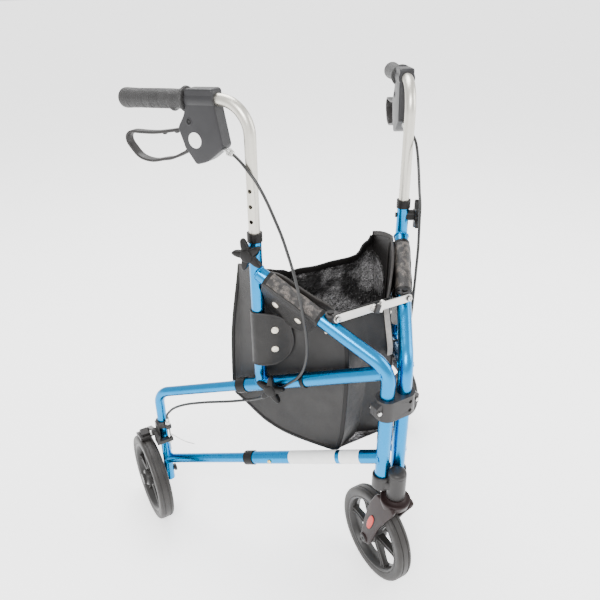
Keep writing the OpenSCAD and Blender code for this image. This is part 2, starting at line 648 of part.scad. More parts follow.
// Brake housing: two half shells on the handle tube, with the lever's pin between them
lever_pin = [94, 851];
housing_outline = [[56, 925], [60, 928], [108, 925], [111, 921], [111, 900], [112, 885], [127, 868],
    [129, 863],
    [117, 832], [110, 824], [100, 811], [96, 809], [76, 815], [45, 839], [43, 844], [55, 903]];
lever_slot = [[80, 836], [80, 866], [92, 874], [140, 884], [140, 790], [112, 806], [94, 832]];
adjuster_from = [54, 840];
adjuster_angle = 25;
adjuster_d = 8;
module at_adjuster() translate([0, adjuster_from[0], adjuster_from[1]]) rotate([90 + adjuster_angle, 0, 0])
    children();
module at_lever_pin() translate([0, lever_pin[0], lever_pin[1]]) crosswise() children();
module brake_housing() color(black) handle_axes() {
    for (half = [0, 1]) mirror([half, 0, 0]) difference() {
        translate([housing_w / 4 + seat_gap / 2, 0, 0]) plate(housing_w / 2 - seat_gap, housing_outline);
        translate([0, 0, handle_z]) rotate([-90 - handle_droop, 0, 0])
            cylinder(d = handle_d + 2 * seat_gap, h = grip_from + eps);
        plate(root_w + 2 * clear_gap, lever_slot);
        at_lever_pin() cylinder(d = lever_pin_d, h = root_w);
        at_adjuster() cylinder(d = adjuster_d + 2 * seat_gap, h = 40);
    }
    at_lever_pin() cylinder(d = lever_pin_d - seat_gap, h = root_w + 4, center = true);
}

// Barrel adjuster where the cable leaves the housing
module cable_adjuster() color(silver) handle_axes() at_adjuster() {
    cylinder(d = adjuster_d, h = 14);
    translate([0, 0, 14]) cylinder(d = adjuster_d + 3, h = 4);
    translate([0, 0, 18]) cylinder(d = adjuster_d + 1, h = 4);
}

// Loop lever: a closed strip whose root turns on the pin in the housing
lever_outer = [[88, 860], [133, 861], [185, 851], [236, 848], [246, 845], [251, 838], [251, 828], [246, 818],
    [232, 806], [213, 799], [193, 799], [155, 808], [131, 818], [112, 826], [92, 842]];
lever_inner = [[134, 856], [185, 846.5], [236, 843], [242, 841], [246, 836], [246, 829], [242, 821],
    [230, 810.5], [212, 803.5], [193, 803.5], [156, 812.5], [133, 822.5], [125, 836], [127, 850]];
lever_wide_h = 134;
module brake_lever() color(black) handle_axes() difference() {
    union() {
        plate(root_w, lever_outer);
        intersection() {
            plate(lever_w, lever_outer);
            translate([-lever_w, lever_wide_h, 0]) cube([2 * lever_w, grip_from + grip_len, handle_z]);
        }
        at_lever_pin() cylinder(d = lever_pin_d + 11, h = root_w, center = true);
    }
    plate(lever_w + 2 * eps, lever_inner);
    at_lever_pin() cylinder(d = lever_pin_d + 2 * run_gap, h = 2 * lever_w, center = true);
}

// Head casting: two sockets for the uprights and the boss of the caster stem
boss_z = crown_top + 4;
boss_dome = 7;
module head_casting() color(black) centred() difference() {
    union() {
        for (x = [-e, e]) translate([x, 0, head_z]) cylinder(d = socket_d, h = socket_top - head_z);
        translate([-e, -stem_front, head_z + 4]) cube([2 * e, stem_front + 8, socket_top - head_z - 12]);
        translate([0, -stem_front, boss_z]) {
            cylinder(d = boss_d, h = boss_h - boss_dome);
            translate([0, 0, boss_h - boss_dome])
                cylinder(d1 = boss_d, d2 = boss_d - 2 * boss_dome, h = boss_dome);
        }
    }
    for (x = [-e, e]) translate([x, 0, head_z + socket_floor])
        cylinder(d = tube_d + 2 * run_gap, h = boss_z + boss_h - head_z);
    translate([0, -stem_front, boss_z - eps]) cylinder(d = stem_d + 2 * run_gap, h = boss_h - 8);
}

// Hinge clamp: two halves around both uprights, a screw through each lug, two set screws on the left upright
lug = 7;
lug_x = e + tube_d / 2 + clamp_wall + lug - 4;
module clamp_shape() {
    for (x = [-e, e]) translate([x, 0, 0]) cylinder(d = tube_d + 2 * clamp_wall, h = clamp_h);
    translate([-e, -tube_d / 2 - clamp_wall, 0]) cube([2 * e, tube_d + 2 * clamp_wall, clamp_h]);
    translate([0, lug_t / 2, 0]) rotate([90, 0, 0]) linear_extrude(lug_t)
        polygon([for (m = [-1, 1], p = lug_half) [m * p[0], m < 0 ? clamp_h - p[1] : p[1]]]);
}
lug_t = 18;
lug_edge = lug_x + 5;
set_share = 0.28;
set_heights = [set_share * clamp_h, (1 - set_share) * clamp_h];
lug_half = [[e + tube_d / 2, 0], [lug_edge, set_heights[0]], [lug_edge, set_heights[1]],
    [e + tube_d / 2, clamp_h]];
screw_places = [for (x = [-1, 1]) [x * lug_x, clamp_h / 2]];
set_d = 6.5;
set_in = tube_d / 2 + 2 * clear_gap;
set_h = clamp_wall - 3;
module clamp_half(keep) color(black) centred() translate([0, 0, clamp_z - clamp_h / 2]) difference() {
    clamp_shape();
    for (x = [-e, e]) translate([x, 0, -eps]) cylinder(d = tube_d + 2 * run_gap, h = clamp_h + 2 * eps);
    for (p = screw_places) translate([p[0], 0, p[1]]) rotate([90, 0, 0])
        cylinder(d = screw_d + 2 * seat_gap, h = 4 * tube_d, center = true);
    for (z = set_heights) translate([e, 0, z]) rotate([90, 0, 0])
        cylinder(d = set_d + 2 * seat_gap, h = 2 * tube_d);
    translate([-2 * lug_x, keep < 0 ? -0.1 : 0.1 - 4 * tube_d, -eps])
        cube([4 * lug_x, 4 * tube_d, clamp_h + 2 * eps]);
}
module front_clamp() clamp_half(-1);
module rear_clamp() clamp_half(1);
module clamp_screws() color(silver) centred() translate([0, 0, clamp_z - clamp_h / 2]) {
    for (p = screw_places) translate([p[0], lug_t / 2, p[1]]) rotate([90, 0, 0]) {
        translate([0, 0, -4]) cylinder(d = screw_d, h = lug_t + 4);
        translate([0, 0, lug_t]) cylinder(d = 2 * screw_d, h = 3, $fn = 6);
        translate([0, 0, -3]) cylinder(d = 2 * screw_d, h = 3, $fn = 6);
    }
    for (z = set_heights) translate([e, -set_in, z]) rotate([90, 0, 0]) cylinder(d = set_d, h = set_h);
}

// Caster: stem, fork, reflectors, axle
fork_in = tyre_w / 2 + 5.5;
fork_out = fork_in + fork_t;
axle_y = front_axle_y;
fork_leg = [[2, crown_top - 2], [8, crown_top - 12], [22, crown_top - 42], [28, crown_top - 72],
    [33, crown_top - 100], [axle_y + 12, axle_z + 4], [axle_y + 12, axle_z - 8], [axle_y + 5, axle_z - 14],
    [axle_y - 8, axle_z - 13], [axle_y - 16, axle_z - 5], [axle_y - 22, axle_z + 8], [-3, crown_top - 102],
    [-14, crown_top - 73], [-32, crown_top - 40], [-44, crown_top - 20], [-48, crown_top - 8],
    [-42, crown_top - 2]];
fork_crown = [[2, crown_top - 2], [8, crown_top - 12], [-6, crown_top - 26], [-30, crown_top - 26],
    [-44, crown_top - 20], [-48, crown_top - 8], [-42, crown_top - 2]];
flare_h = 14;
flare_d = 2 * fork_out - 3;
dish = 6;
dish_d = 44;
dish_floor_d = 27;
module caster_fork() color(black) centred() difference() {
    union() {
        for (x = [-1, 1]) translate([x * (fork_in + fork_t / 2), 0, 0]) plate(fork_t, fork_leg);
        plate(2 * fork_in + eps, fork_crown);
        translate([0, -stem_front, crown_top - flare_h])
            cylinder(d1 = flare_d - 8, d2 = flare_d, h = flare_h);
    }
    translate([0, -stem_front, crown_top - 60]) cylinder(d = stem_d + 2 * seat_gap, h = 60 + eps);
    translate([0, -stem_front, crown_top - dish])
        cylinder(d1 = dish_floor_d, d2 = dish_d + (dish_d - dish_floor_d) / dish * eps, h = dish + eps);
    translate([-2 * fork_out, axle_y, axle_z]) crosswise()
        cylinder(d = axle_d - 2 + 2 * seat_gap, h = 4 * fork_out);
}
module caster_stem() color(silver) centred() translate([0, -stem_front, 0]) {
    translate([0, 0, crown_top - 22]) cylinder(d = stem_d, h = boss_z - crown_top + 22 + boss_h - 12);
    translate([0, 0, crown_top - dish]) cylinder(d = stem_d + 12, h = boss_z - crown_top + dish - clear_gap);
}
reflector = [11, 151];
reflector_tilt = 17.6;
reflector_w = 16;
reflector_half = 14;
module fork_reflectors() color("red") centred() for (x = [-1, 1])
    translate([x * (fork_out + 0.6), reflector[0], reflector[1]]) rotate([reflector_tilt, 0, 0]) crosswise() {
        for (i = [-1, 1]) translate([i * reflector_half, 0, -0.6]) cylinder(d = reflector_w, h = 1.2);
        translate([-reflector_half, -reflector_w / 2, -0.6]) cube([2 * reflector_half, reflector_w, 1.2]);
    }
module front_axle() color(silver) centred() translate([0, axle_y, axle_z]) crosswise() {
    translate([0, 0, -fork_out - 1]) cylinder(d = axle_d - 2, h = 2 * fork_out + 2);
    for (x = [-1, 1]) translate([0, 0, x * (fork_out + 2) - 2]) cylinder(d = axle_d + 4, h = 4);
}

// Wheel pieces around X, at the wheel's middle
spoke_t = 14;
spoke_tip_w = 12;
spoke_root_w = 0.86 * hub_d * sin(180 / spokes);
module rim(bore) color(grey) crosswise() difference() {
    union() {
        ring_band(rim_r - 7, rim_r, tyre_w - 5);
        ring_band(rim_r - 10, rim_r - 6, 6);
        translate([0, 0, -hub_w / 2]) cylinder(d = hub_d, h = hub_w);
        for (i = [0:spokes - 1]) rotate([0, 0, (i + 0.5) * 360 / spokes])
            linear_extrude(spoke_t, center = true) polygon([[hub_d / 3, -spoke_root_w / 2],
                [rim_r - 5, -spoke_tip_w / 2], [rim_r - 5, spoke_tip_w / 2], [hub_d / 3, spoke_root_w / 2]]);
    }
    translate([0, 0, -hub_w]) cylinder(d = bore, h = 2 * hub_w);
    for (z = [-1, 1]) translate([0, 0, z * (hub_w / 2 - bearing_w / 2) - bearing_w / 2 - (z < 0 ? eps : 0)])
        cylinder(d = bearing_d + 2 * seat_gap, h = bearing_w + eps);
}
module ring_band(r0, r1, w) rotate_extrude() translate([r0, -w / 2]) square([r1 - r0, w]);
groove_at = 6;
module tyre() color(grey) crosswise() rotate_extrude()
    polygon([for (m = [-1, 1], p = m < 0 ? tyre_half : tyre_back)
    [p[0], m * p[1]]]);
tyre_half = [[rim_r + seat_gap, tyre_w / 2 - 2], [wheel_r - 8, tyre_w / 2], [wheel_r - 3, tyre_w / 2 - 1],
    [wheel_r, tyre_w / 2 - 4.5], [wheel_r, groove_at + 1.5], [wheel_r - groove_depth, groove_at + 1],
    [wheel_r - groove_depth, groove_at - 1], [wheel_r, groove_at - 1.5]];
tyre_back = [for (i = [len(tyre_half) - 1:-1:0]) tyre_half[i]];
module bearings(bore) color(silver) crosswise() for (z = [-1, 1])
    translate([0, 0, z * (hub_w / 2 - bearing_w / 2) - bearing_w / 2])
        ring(bearing_d, bore + 2 * run_gap, bearing_w);

module at_front_wheel() centred() translate([0, axle_y, axle_z]) children();
module front_rim() at_front_wheel() rim(axle_d + 2);
module front_tyre() at_front_wheel() tyre();
module front_bearings() at_front_wheel() bearings(axle_d - 2);

module at_rear_wheel() straight_at(leg_s) translate([wheel_out, 0, axle_z]) children();
module rear_rim() at_rear_wheel() rim(axle_d + 2);
module rear_tyre() at_rear_wheel() tyre();
module rear_bearings() at_rear_wheel() bearings(axle_d);
module rear_axle() color(silver) at_rear_wheel() crosswise() {
    inner = -wheel_out - leg_d / 2 - 3;
    translate([0, 0, inner]) cylinder(d = axle_d, h = hub_w / 2 + 4 - inner);
    translate([0, 0, inner - 3]) cylinder(d = axle_d + 6, h = 4);
    translate([0, 0, leg_d / 2 - wheel_out + clear_gap])
        cylinder(d = axle_d + 5, h = wheel_out - leg_d / 2 - hub_w / 2 - 2 * clear_gap);
    translate([0, 0, hub_w / 2 + clear_gap]) cylinder(d = axle_d + 12, h = 5);
}

// Rear brake: bracket on the leg with the cable's barrel, and the shoe that swings down on the tyre
wire_x = -5;
wire_y = -21;
horn_top = bracket_z + bracket_h;
barrel_z = horn_top - 16;
module brake_bracket() color(black) straight_at(leg_s) {
    difference() {
        union() {
            translate([0, 0, bracket_z]) cylinder(d = leg_d + 10, h = bracket_h);
            translate([wire_x - 6, wire_y - 6, horn_top - 10]) cube([12, -wire_y + 6, 10]);
            translate([0, 0, shoe_pin_z]) crosswise() cylinder(d = shoe_pin_d + 8, h = leg_d / 2 + 7);
        }
        translate([0, 0, bracket_z - eps]) cylinder(d = leg_d + 2 * seat_gap, h = bracket_h + 2 * eps);
        translate([wire_x, wire_y, horn_top - 20]) cylinder(d = 6 + 2 * seat_gap, h = 40);
    }
    translate([leg_d / 2 + 6, 0, shoe_pin_z]) crosswise() cylinder(d = shoe_pin_d, h = 13);
    translate([leg_d / 2 + 17.3, 0, shoe_pin_z]) crosswise() cylinder(d = shoe_pin_d + 6, h = 2.5);
    translate([wire_x, wire_y, barrel_z]) difference() {
        union() {
            cylinder(d = 6, h = 30);
            translate([0, 0, 16 + clear_gap]) cylinder(d = 10, h = 7);
        }
        translate([0, 0, -eps]) cylinder(d = 2.4, h = 32);
    }
}
shoe_in = leg_d / 2 + 7 + clear_gap;
shoe_hub_w = 9.7;
wire_slot_d = 4;
module brake_shoe() color(black) straight_at(leg_s) difference() {
    union() {
        translate([wheel_out - tyre_w / 2 + 3, 0, axle_z]) crosswise() rotate([0, 0, 154])
            rotate_extrude(angle = 23)
            translate([wheel_r + shoe_gap, 0]) square([shoe_t, tyre_w - 6]);
        translate([shoe_in, 0, shoe_pin_z]) crosswise() cylinder(d = shoe_pin_d + 10, h = shoe_hub_w);
        translate([shoe_in + shoe_hub_w / 2, 0, 0]) plate(shoe_hub_w, [[-7, shoe_pin_z - 3],
            [0, shoe_pin_z + 8],
            [34, shoe_pin_z - 9], [39, shoe_pin_z - 20], [8, shoe_pin_z - 16]]);
        translate([wheel_out - 2, 0, 0]) plate(tyre_w - 14, [[12, shoe_pin_z - 8], [34, shoe_pin_z - 9],
            [39, shoe_pin_z - 20], [12, shoe_pin_z - 16]]);
        translate([shoe_in, wire_y - 6, bracket_z + 10]) cube([6, 20, 22]);
        translate([wire_x - 6, wire_y - 6, bracket_z + 10]) cube([shoe_in - wire_x + 12, 9, 8]);
    }
    translate([wire_x, wire_y, bracket_z]) cylinder(d = wire_slot_d, h = 30);
    translate([0, 0, shoe_pin_z]) crosswise() cylinder(d = shoe_pin_d + 2 * run_gap, h = 60);
    translate([wheel_out - tyre_w, 0, axle_z]) crosswise() cylinder(r = wheel_r + shoe_gap, h = 2 * tyre_w);
}

head_casting();
front_clamp();
rear_clamp();
clamp_screws();
bag_body();
caster_fork();
caster_stem();
fork_reflectors();
front_axle();
front_rim();
front_tyre();
front_bearings();
for (side = sides) {
    on(side) main_tube();
    on(side) mid_rail();
    on(side) lower_rail();
    on(side) rear_upright();
    on(side) tube_collars();
    on(side) brace_bracket(side == "left_" ? 1 : 0);
    on(side) brace_link(side == "left_" ? 1 : 0);
    on(side) cable();
    on(side) bag_side();
    on(side) rear_leg();
    on(side) brake_bracket();
    on(side) brake_shoe();
    on(side) rear_axle();
    on(side) rear_rim();
    on(side) rear_tyre();
    on(side) rear_bearings();
    on(side) handle_tube();
    on(side) brake_housing();
    on(side) grip();
    on(side) cable_adjuster();
    on(side) brake_lever();
    on(side) height_knob();
    on(side) leg_knob();
    on(side) leg_button();
}
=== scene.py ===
"""Three wheel rollator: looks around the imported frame. Lengths in the shape code are millimetres."""
import math

import bmesh
import bpy
import numpy as np
from mathutils import Matrix, Vector, noise


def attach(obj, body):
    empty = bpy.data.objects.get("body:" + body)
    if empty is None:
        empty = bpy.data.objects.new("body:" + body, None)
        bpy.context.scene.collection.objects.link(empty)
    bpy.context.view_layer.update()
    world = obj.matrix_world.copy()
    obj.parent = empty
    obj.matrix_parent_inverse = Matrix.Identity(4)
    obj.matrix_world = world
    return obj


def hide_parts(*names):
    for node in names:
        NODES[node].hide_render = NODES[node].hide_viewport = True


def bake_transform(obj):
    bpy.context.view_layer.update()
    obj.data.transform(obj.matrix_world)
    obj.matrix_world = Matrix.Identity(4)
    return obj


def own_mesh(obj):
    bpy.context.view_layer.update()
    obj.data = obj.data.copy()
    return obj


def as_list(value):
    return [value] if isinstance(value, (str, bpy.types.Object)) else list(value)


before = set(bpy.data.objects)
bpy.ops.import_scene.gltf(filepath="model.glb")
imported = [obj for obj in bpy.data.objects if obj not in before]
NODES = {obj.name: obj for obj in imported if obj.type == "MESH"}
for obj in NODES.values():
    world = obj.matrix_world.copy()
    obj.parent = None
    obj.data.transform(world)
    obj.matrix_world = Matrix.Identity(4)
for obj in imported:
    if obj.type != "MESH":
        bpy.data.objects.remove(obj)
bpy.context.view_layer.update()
SIDES = ("left", "right")
MM = 0.001

# Main sizes, as in the part's source
SPREAD, RAIL, DIAG = math.radians(34.4), math.radians(21.5), math.radians(28.6)
TOE, DROOP = math.radians(4.5), math.radians(3.7)
E, LEG_S, UP_S = 17.8, 490.0, 241.0
TUBE_R, UP_R, LEG_R, HANDLE_R = 12.7, 11.1, 10.0, 9.525
MID_Z, LOW_Z, DIAG_Z, HANDLE_Z = 501.0, 320.0, 506.0, 915.0
AXLE_Z, CLAMP_Z = 95.0, 431.0
FRONT_AXLE_Y = 26.0
Y_SHIFT = -(FRONT_AXLE_Y + LEG_S * math.cos(SPREAD)) / 2


def rail_z(z, s):
    return z - s * math.tan(RAIL)


def diag_z(s):
    return DIAG_Z + s * math.tan(DIAG)


# Places: each gives a matrix from local millimetres to the row frame in metres
def rot(axis, angle):
    return Matrix.Rotation(angle, 4, axis)


def at(x, y, z):
    return Matrix.Translation((x, y, z))


CENTRE = Matrix.Scale(MM, 4) @ at(0, Y_SHIFT, 0)
TO_X = rot("Y", math.pi / 2)


def side_frame(side):
    m = Matrix.Scale(MM, 4) @ at(E, Y_SHIFT, 0) @ rot("Z", -SPREAD)
    return m if side == "left" else Matrix.Scale(-1, 4, (1, 0, 0)) @ m


def straight(side, s):
    return side_frame(side) @ at(0, s, 0) @ rot("Z", SPREAD)


def handle(side):
    return side_frame(side) @ at(0, UP_S, 0) @ rot("Z", TOE)


def along_handle(side, h):
    return handle(side) @ at(0, 0, HANDLE_Z) @ rot("X", -math.pi / 2 - DROOP) @ at(0, 0, h)


def along_rail(side, z, s):
    return side_frame(side) @ at(0, s, rail_z(z, s)) @ rot("X", -math.pi / 2 - RAIL)


def along_diag(side, s):
    return side_frame(side) @ at(0, s, diag_z(s)) @ rot("X", -math.pi / 2 + DIAG)


def outward(side, s, z):
    return side_frame(side) @ at(0, s, z) @ TO_X


# Points and outlines
def around(n):
    """n angles evenly round a circle."""
    return np.linspace(0, 2 * math.pi, n, endpoint=False)


def unit(v):
    return v / np.linalg.norm(v)


def tangents(p, closed=False):
    """Unit directions along points."""
    d = np.roll(p, -1, 0) - np.roll(p, 1, 0)
    if not closed:
        d[0], d[-1] = p[1] - p[0], p[-1] - p[-2]
    return d / np.linalg.norm(d, axis=1)[:, None]


def run_of(p):
    """Distance along points, from the first."""
    return np.concatenate([[0], np.cumsum(np.linalg.norm(np.diff(p, axis=0), axis=1))])


def mirrored(half):
    """Profile closed by its own mirror image in z."""
    return half + [(r, -z) for r, z in half[::-1]]


def rect(a, b, c, d):
    """Rectangle from (a, c) to (b, d)."""
    return [(a, c), (b, c), (b, d), (a, d)]


# Shapes: each gives (vertices, faces)
def lathe(profile, n=64, closed=False):
    """Surface of revolution about Z from (radius, z) pairs."""
    v, f, rings = [], [], []
    for r, z in profile:
        start = len(v)
        if r < 1e-6:
            v.append((0, 0, z))
            rings.append([start] * n)
        else:
            v += [(r * math.cos(a), r * math.sin(a), z) for a in around(n)]
            rings.append(list(range(start, start + n)))
    pairs = list(zip(rings, rings[1:] + rings[:1])) if closed else list(zip(rings, rings[1:]))
    for a, b in pairs:
        for k in range(n):
            j = (k + 1) % n
            face = list(dict.fromkeys((a[k], a[j], b[j], b[k])))
            if len(face) > 2:
                f.append(face)
    return v, f


def sections(rings, closed=False):
    """Skin over rings of points that all have the same count, capped unless it is closed."""
    n = len(rings[0])
    v = [tuple(p) for ring in rings for p in ring]
    f = []
    for i in range(len(rings) if closed else len(rings) - 1):
        a, b = i * n, ((i + 1) % len(rings)) * n
        f += [(a + k, a + (k + 1) % n, b + (k + 1) % n, b + k) for k in range(n)]
    if not closed:
        f += [tuple(range(n))[::-1], tuple(range((len(rings) - 1) * n, len(rings) * n))]
    return v, f


def along(points, profile, up=(0, 0, 1)):
    """Sweep of a profile along points, with its first axis near up."""
    p, up = np.array(points, float), np.array(up, float)
    rings = []
    for q, t in zip(p, tangents(p)):
        u = unit(up - t * (up @ t))
        w = np.cross(t, u)
        rings.append([q + a * u + b * w for a, b in profile])
    return sections(rings)


def round_tube(points, r, n=14, closed=False):
    """Round tube with a frame that is carried along, so it never twists."""
    p = np.array(points, float)
    way = tangents(p, closed)
    radii = r if hasattr(r, "__len__") else [r] * len(p)
    rings, u = [], np.cross(way[0], (0.31, 0.42, 0.85))
    for q, t, rq in zip(p, way, radii):
        u = unit(u - t * (u @ t))
        w = np.cross(t, u)
        rings.append([q + rq * (math.cos(a) * u + math.sin(a) * w) for a in around(n)])
    return sections(rings, closed)


def spline(points, per=6, closed=False):
    """Catmull-Rom curve through points."""
    p = np.array(points, float)
    n = len(p)
    out = []
    for i in range(n if closed else n - 1):
        if closed:
            a, b, c, d = p[i - 1], p[i], p[(i + 1) % n], p[(i + 2) % n]
        else:
            a, b, c, d = p[max(i - 1, 0)], p[i], p[i + 1], p[min(i + 2, n - 1)]
        for u in np.linspace(0, 1, per, endpoint=False):
            out.append(0.5 * (2 * b + (c - a) * u + (2 * a - 5 * b + 4 * c - d) * u ** 2
                              + (3 * b - a - 3 * c + d) * u ** 3))
    if not closed:
        out.append(p[-1])
    return np.array(out)


def rounded(outline, radius, steps=5):
    """Outline with each corner replaced by an arc-like curve."""
    p = np.array(outline, float)
    n = len(p)
    rad = radius if hasattr(radius, "__len__") else [radius] * n
    out = []
    for i in range(n):
        a, b, c = p[i - 1], p[i], p[(i + 1) % n]
        la, lc = np.linalg.norm(a - b), np.linalg.norm(c - b)
        cut = min(rad[i], 0.45 * la, 0.45 * lc)
        s, e = b + (a - b) / la * cut, b + (c - b) / lc * cut
        for u in np.linspace(0, 1, steps):
            out.append((1 - u) ** 2 * s + 2 * u * (1 - u) * b + u * u * e)
    return np.array(out)


def inset(outline, d):
    """Outline moved inward by d along its corners' normals."""
    p = np.array(outline, float)
    a = np.roll(p, 1, 0)
    c = np.roll(p, -1, 0)
    area = np.sum(p[:, 0] * c[:, 1] - c[:, 0] * p[:, 1])
    e1, e2 = p - a, c - p
    e1 /= np.linalg.norm(e1, axis=1)[:, None] + 1e-12
    e2 /= np.linalg.norm(e2, axis=1)[:, None] + 1e-12
    n = np.stack([-(e1 + e2)[:, 1], (e1 + e2)[:, 0]], 1)
    n /= np.linalg.norm(n, axis=1)[:, None] + 1e-12
    return p + n * d * (1 if area > 0 else -1)


def slab(outline, w, b, k=4, x0=0.0):
    """Plate of width w along X with its outline in Y and Z, and edges rounded by b."""
    levels = [(-w / 2 + b * (1 - math.sin(a)), b * (1 - math.cos(a)))
              for a in np.linspace(math.pi / 2, 0, k + 1)]
    levels += [(-x, d) for x, d in levels[::-1]]
    return sections([[(x0 + x, y, z) for y, z in inset(outline, d)] for x, d in levels])


def band(w, t, r=1.2, steps=3):
    """Rounded rectangle, w by t."""
    return [tuple(p) for p in rounded(rect(-w / 2, w / 2, -t / 2, t / 2), r, steps)]


def disc_points(cx, cy, r, n=40):
    return [(cx + r * math.cos(a), cy + r * math.sin(a)) for a in around(n)]


def hull2d(points):
    """Convex hull of plane points."""
    pts = sorted(set((round(x, 4), round(y, 4)) for x, y in points))

    def half(seq):
        out = []
        for q in seq:
            while len(out) > 1 and (out[-1][0] - out[-2][0]) * (q[1] - out[-2][1]) \
                    - (out[-1][1] - out[-2][1]) * (q[0] - out[-2][0]) <= 0:
                out.pop()
            out.append(q)
        return out
    lower, upper = half(pts), half(pts[::-1])
    return lower[:-1] + upper[:-1]


def lying(z):
    """Turns a slab, with its outline in Y and Z, to lie at height z with its outline in X and Y."""
    return Matrix(((0, 1, 0, 0), (0, 0, 1, 0), (1, 0, 0, z), (0, 0, 0, 1)))


def moved(shape, matrix):
    return ([tuple(matrix @ Vector(p)) for p in shape[0]], *shape[1:])


# Materials
def surface(name, dark, light, rough, metal=0.0, scale=40.0, bump=0.0, bump_scale=900.0, bump_size=0.0002,
            grain="noise", fine=0.0, fine_scale=2500.0, rough_var=0.08, stretch=(1, 1, 1), sheen=0.0,
            specular=0.5, speck_and_sheen=None):
    """Procedural surface: mottled colour, speckles (a light weave on the sleeve, painted highlight patches on
    the lining), uneven roughness and a bump of noise, cells or dots.
    """
    mat = bpy.data.materials.new(name)
    mat.use_nodes = True
    tree = mat.node_tree
    bsdf, link = tree.nodes["Principled BSDF"], tree.links.new

    def node(kind, **values):
        n = tree.nodes.new("ShaderNode" + kind)
        for key, value in values.items():
            n.inputs[key].default_value = value
        return n
    mapping = node("Mapping", Scale=stretch)
    link(node("TexCoord").outputs["Object"], mapping.inputs["Vector"])

    def texture(kind, **values):
        n = node("Tex" + kind, **values)
        link(mapping.outputs["Vector"], n.inputs["Vector"])
        return n

    def ranged(value, **limits):
        n = node("MapRange", **{key.replace("_", " "): limit for key, limit in limits.items()})
        link(value, n.inputs["Value"])
        return n.outputs["Result"]
    ramp = node("ValToRGB")
    for stop, place, tone in zip(ramp.color_ramp.elements, (0.3, 0.7), (dark, light)):
        stop.position, stop.color = place, (*tone, 1)
    link(texture("Noise", Scale=scale, Detail=6.0, Roughness=0.6).outputs["Fac"], ramp.inputs["Fac"])
    colour = ramp.outputs["Color"]
    # Speckles: on the sleeve a light weave, on the lining painted highlight patches
    if speck_and_sheen:
        speck_sheen_colour, patch_scale, speck_scale = speck_and_sheen
        both, mix = node("Math"), node("Mix")
        both.operation, mix.data_type = "MULTIPLY", "RGBA"
        for k, (size, low, high) in enumerate(((patch_scale, 0.46, 0.6), (speck_scale, 0.4, 0.62))):
            speck_sheen_mask = texture("Noise", Scale=size, Detail=3.0, Roughness=0.55).outputs["Fac"]
            link(ranged(speck_sheen_mask, From_Min=low, From_Max=high), both.inputs[k])
        link(both.outputs["Value"], mix.inputs[0])
        link(colour, mix.inputs[6])
        mix.inputs[7].default_value = (*speck_sheen_colour, 1)
        colour = mix.outputs[2]
    link(colour, bsdf.inputs["Base Color"])
    uneven = texture("Noise", Scale=scale * 2.7, Detail=4.0).outputs["Fac"]
    link(ranged(uneven, To_Min=max(0.02, rough - rough_var), To_Max=min(1.0, rough + rough_var)),
         bsdf.inputs["Roughness"])
    if bump > 0:
        relief = node("Bump", Strength=bump, Distance=bump_size)
        if grain == "noise":
            height = texture("Noise", Scale=bump_scale, Detail=3.0).outputs["Fac"]
        else:
            cells = texture("Voronoi", Scale=bump_scale)
            cells.feature = "DISTANCE_TO_EDGE" if grain == "cells" else "F1"
            height = cells.outputs["Distance"]
        link(height, relief.inputs["Height"])
        if fine > 0:
            under = node("Bump", Strength=fine, Distance=bump_size)
            link(texture("Noise", Scale=fine_scale, Detail=2.0).outputs["Fac"], under.inputs["Height"])
            link(under.outputs["Normal"], relief.inputs["Normal"])
        link(relief.outputs["Normal"], bsdf.inputs["Normal"])
    for key, value in (("Metallic", metal), ("Sheen Weight", sheen), ("Specular IOR Level", specular)):
        bsdf.inputs[key].default_value = value
    return mat


blue = surface("blue_anodised", (0.0, 0.185, 0.43), (0.0, 0.222, 0.5), 0.27, metal=1.0, scale=14, bump=0.05,
               bump_scale=3200, rough_var=0.05)
silver = surface("handle_anodised", (0.52, 0.50, 0.445), (0.62, 0.60, 0.54), 0.36, metal=1.0, scale=120,
                 bump=0.06, bump_scale=1800, stretch=(1, 1, 0.06))
MOULDED = dict(scale=30, bump=0.16, bump_scale=2600, bump_size=0.00008)
BOUND = dict(scale=40, bump=0.5, bump_scale=900, grain="cells", bump_size=0.0004)
plastic = surface("moulded_plastic", (0.015, 0.0138, 0.0136), (0.022, 0.0204, 0.02), 0.42, specular=0.32,
                  **MOULDED)
knob_plastic = surface("knob_plastic", (0.004, 0.0036, 0.0034), (0.0065, 0.0058, 0.0055), 0.44, specular=0.2,
                       **MOULDED)
housing_plastic = surface("housing_plastic", (0.014, 0.0137, 0.015), (0.02, 0.0197, 0.0215), 0.4, scale=26,
                          bump=0.18, bump_scale=2400, bump_size=0.00008, specular=0.32)
fork_plastic = surface("fork_plastic", (0.0135, 0.0078, 0.0076), (0.0185, 0.0112, 0.0108), 0.38, scale=24,
                       bump=0.16, bump_scale=2400, bump_size=0.00008, specular=0.15)
rubber = surface("grip_rubber", (0.011, 0.0105, 0.0105), (0.024, 0.023, 0.023), 0.5, scale=60, bump=1.0,
                 bump_scale=520, grain="dots", bump_size=0.0008, rough_var=0.14, specular=0.42)
tyre_pu = surface("tyre_pu", (0.017, 0.0155, 0.0145), (0.026, 0.024, 0.0225), 0.5, scale=38, bump=0.2,
                  bump_scale=1500, specular=0.36)
rim_plastic = surface("rim_plastic", (0.011, 0.0102, 0.0098), (0.018, 0.0168, 0.016), 0.4, scale=30, bump=0.16,
                      bump_scale=2000, specular=0.4)
vinyl = surface("bag_vinyl", (0.009, 0.008, 0.0076), (0.016, 0.0145, 0.0137), 0.5, scale=22, bump=0.8,
                bump_scale=520, grain="cells", bump_size=0.0006, rough_var=0.1, fine=0.3, specular=0.36)
tab_vinyl = surface("loop_vinyl", (0.0045, 0.0039, 0.0037), (0.0085, 0.0075, 0.007), 0.42, scale=26, bump=0.9,
                    bump_scale=380, grain="cells", bump_size=0.0007, rough_var=0.14, fine=0.3, specular=0.3)
dark_vinyl = surface("bag_binding", (0.008, 0.0072, 0.007), (0.014, 0.0125, 0.012), 0.48, specular=0.35,
                     **BOUND)
piping = surface("bag_piping", (0.0035, 0.0031, 0.003), (0.006, 0.0054, 0.0052), 0.5, specular=0.22, **BOUND)
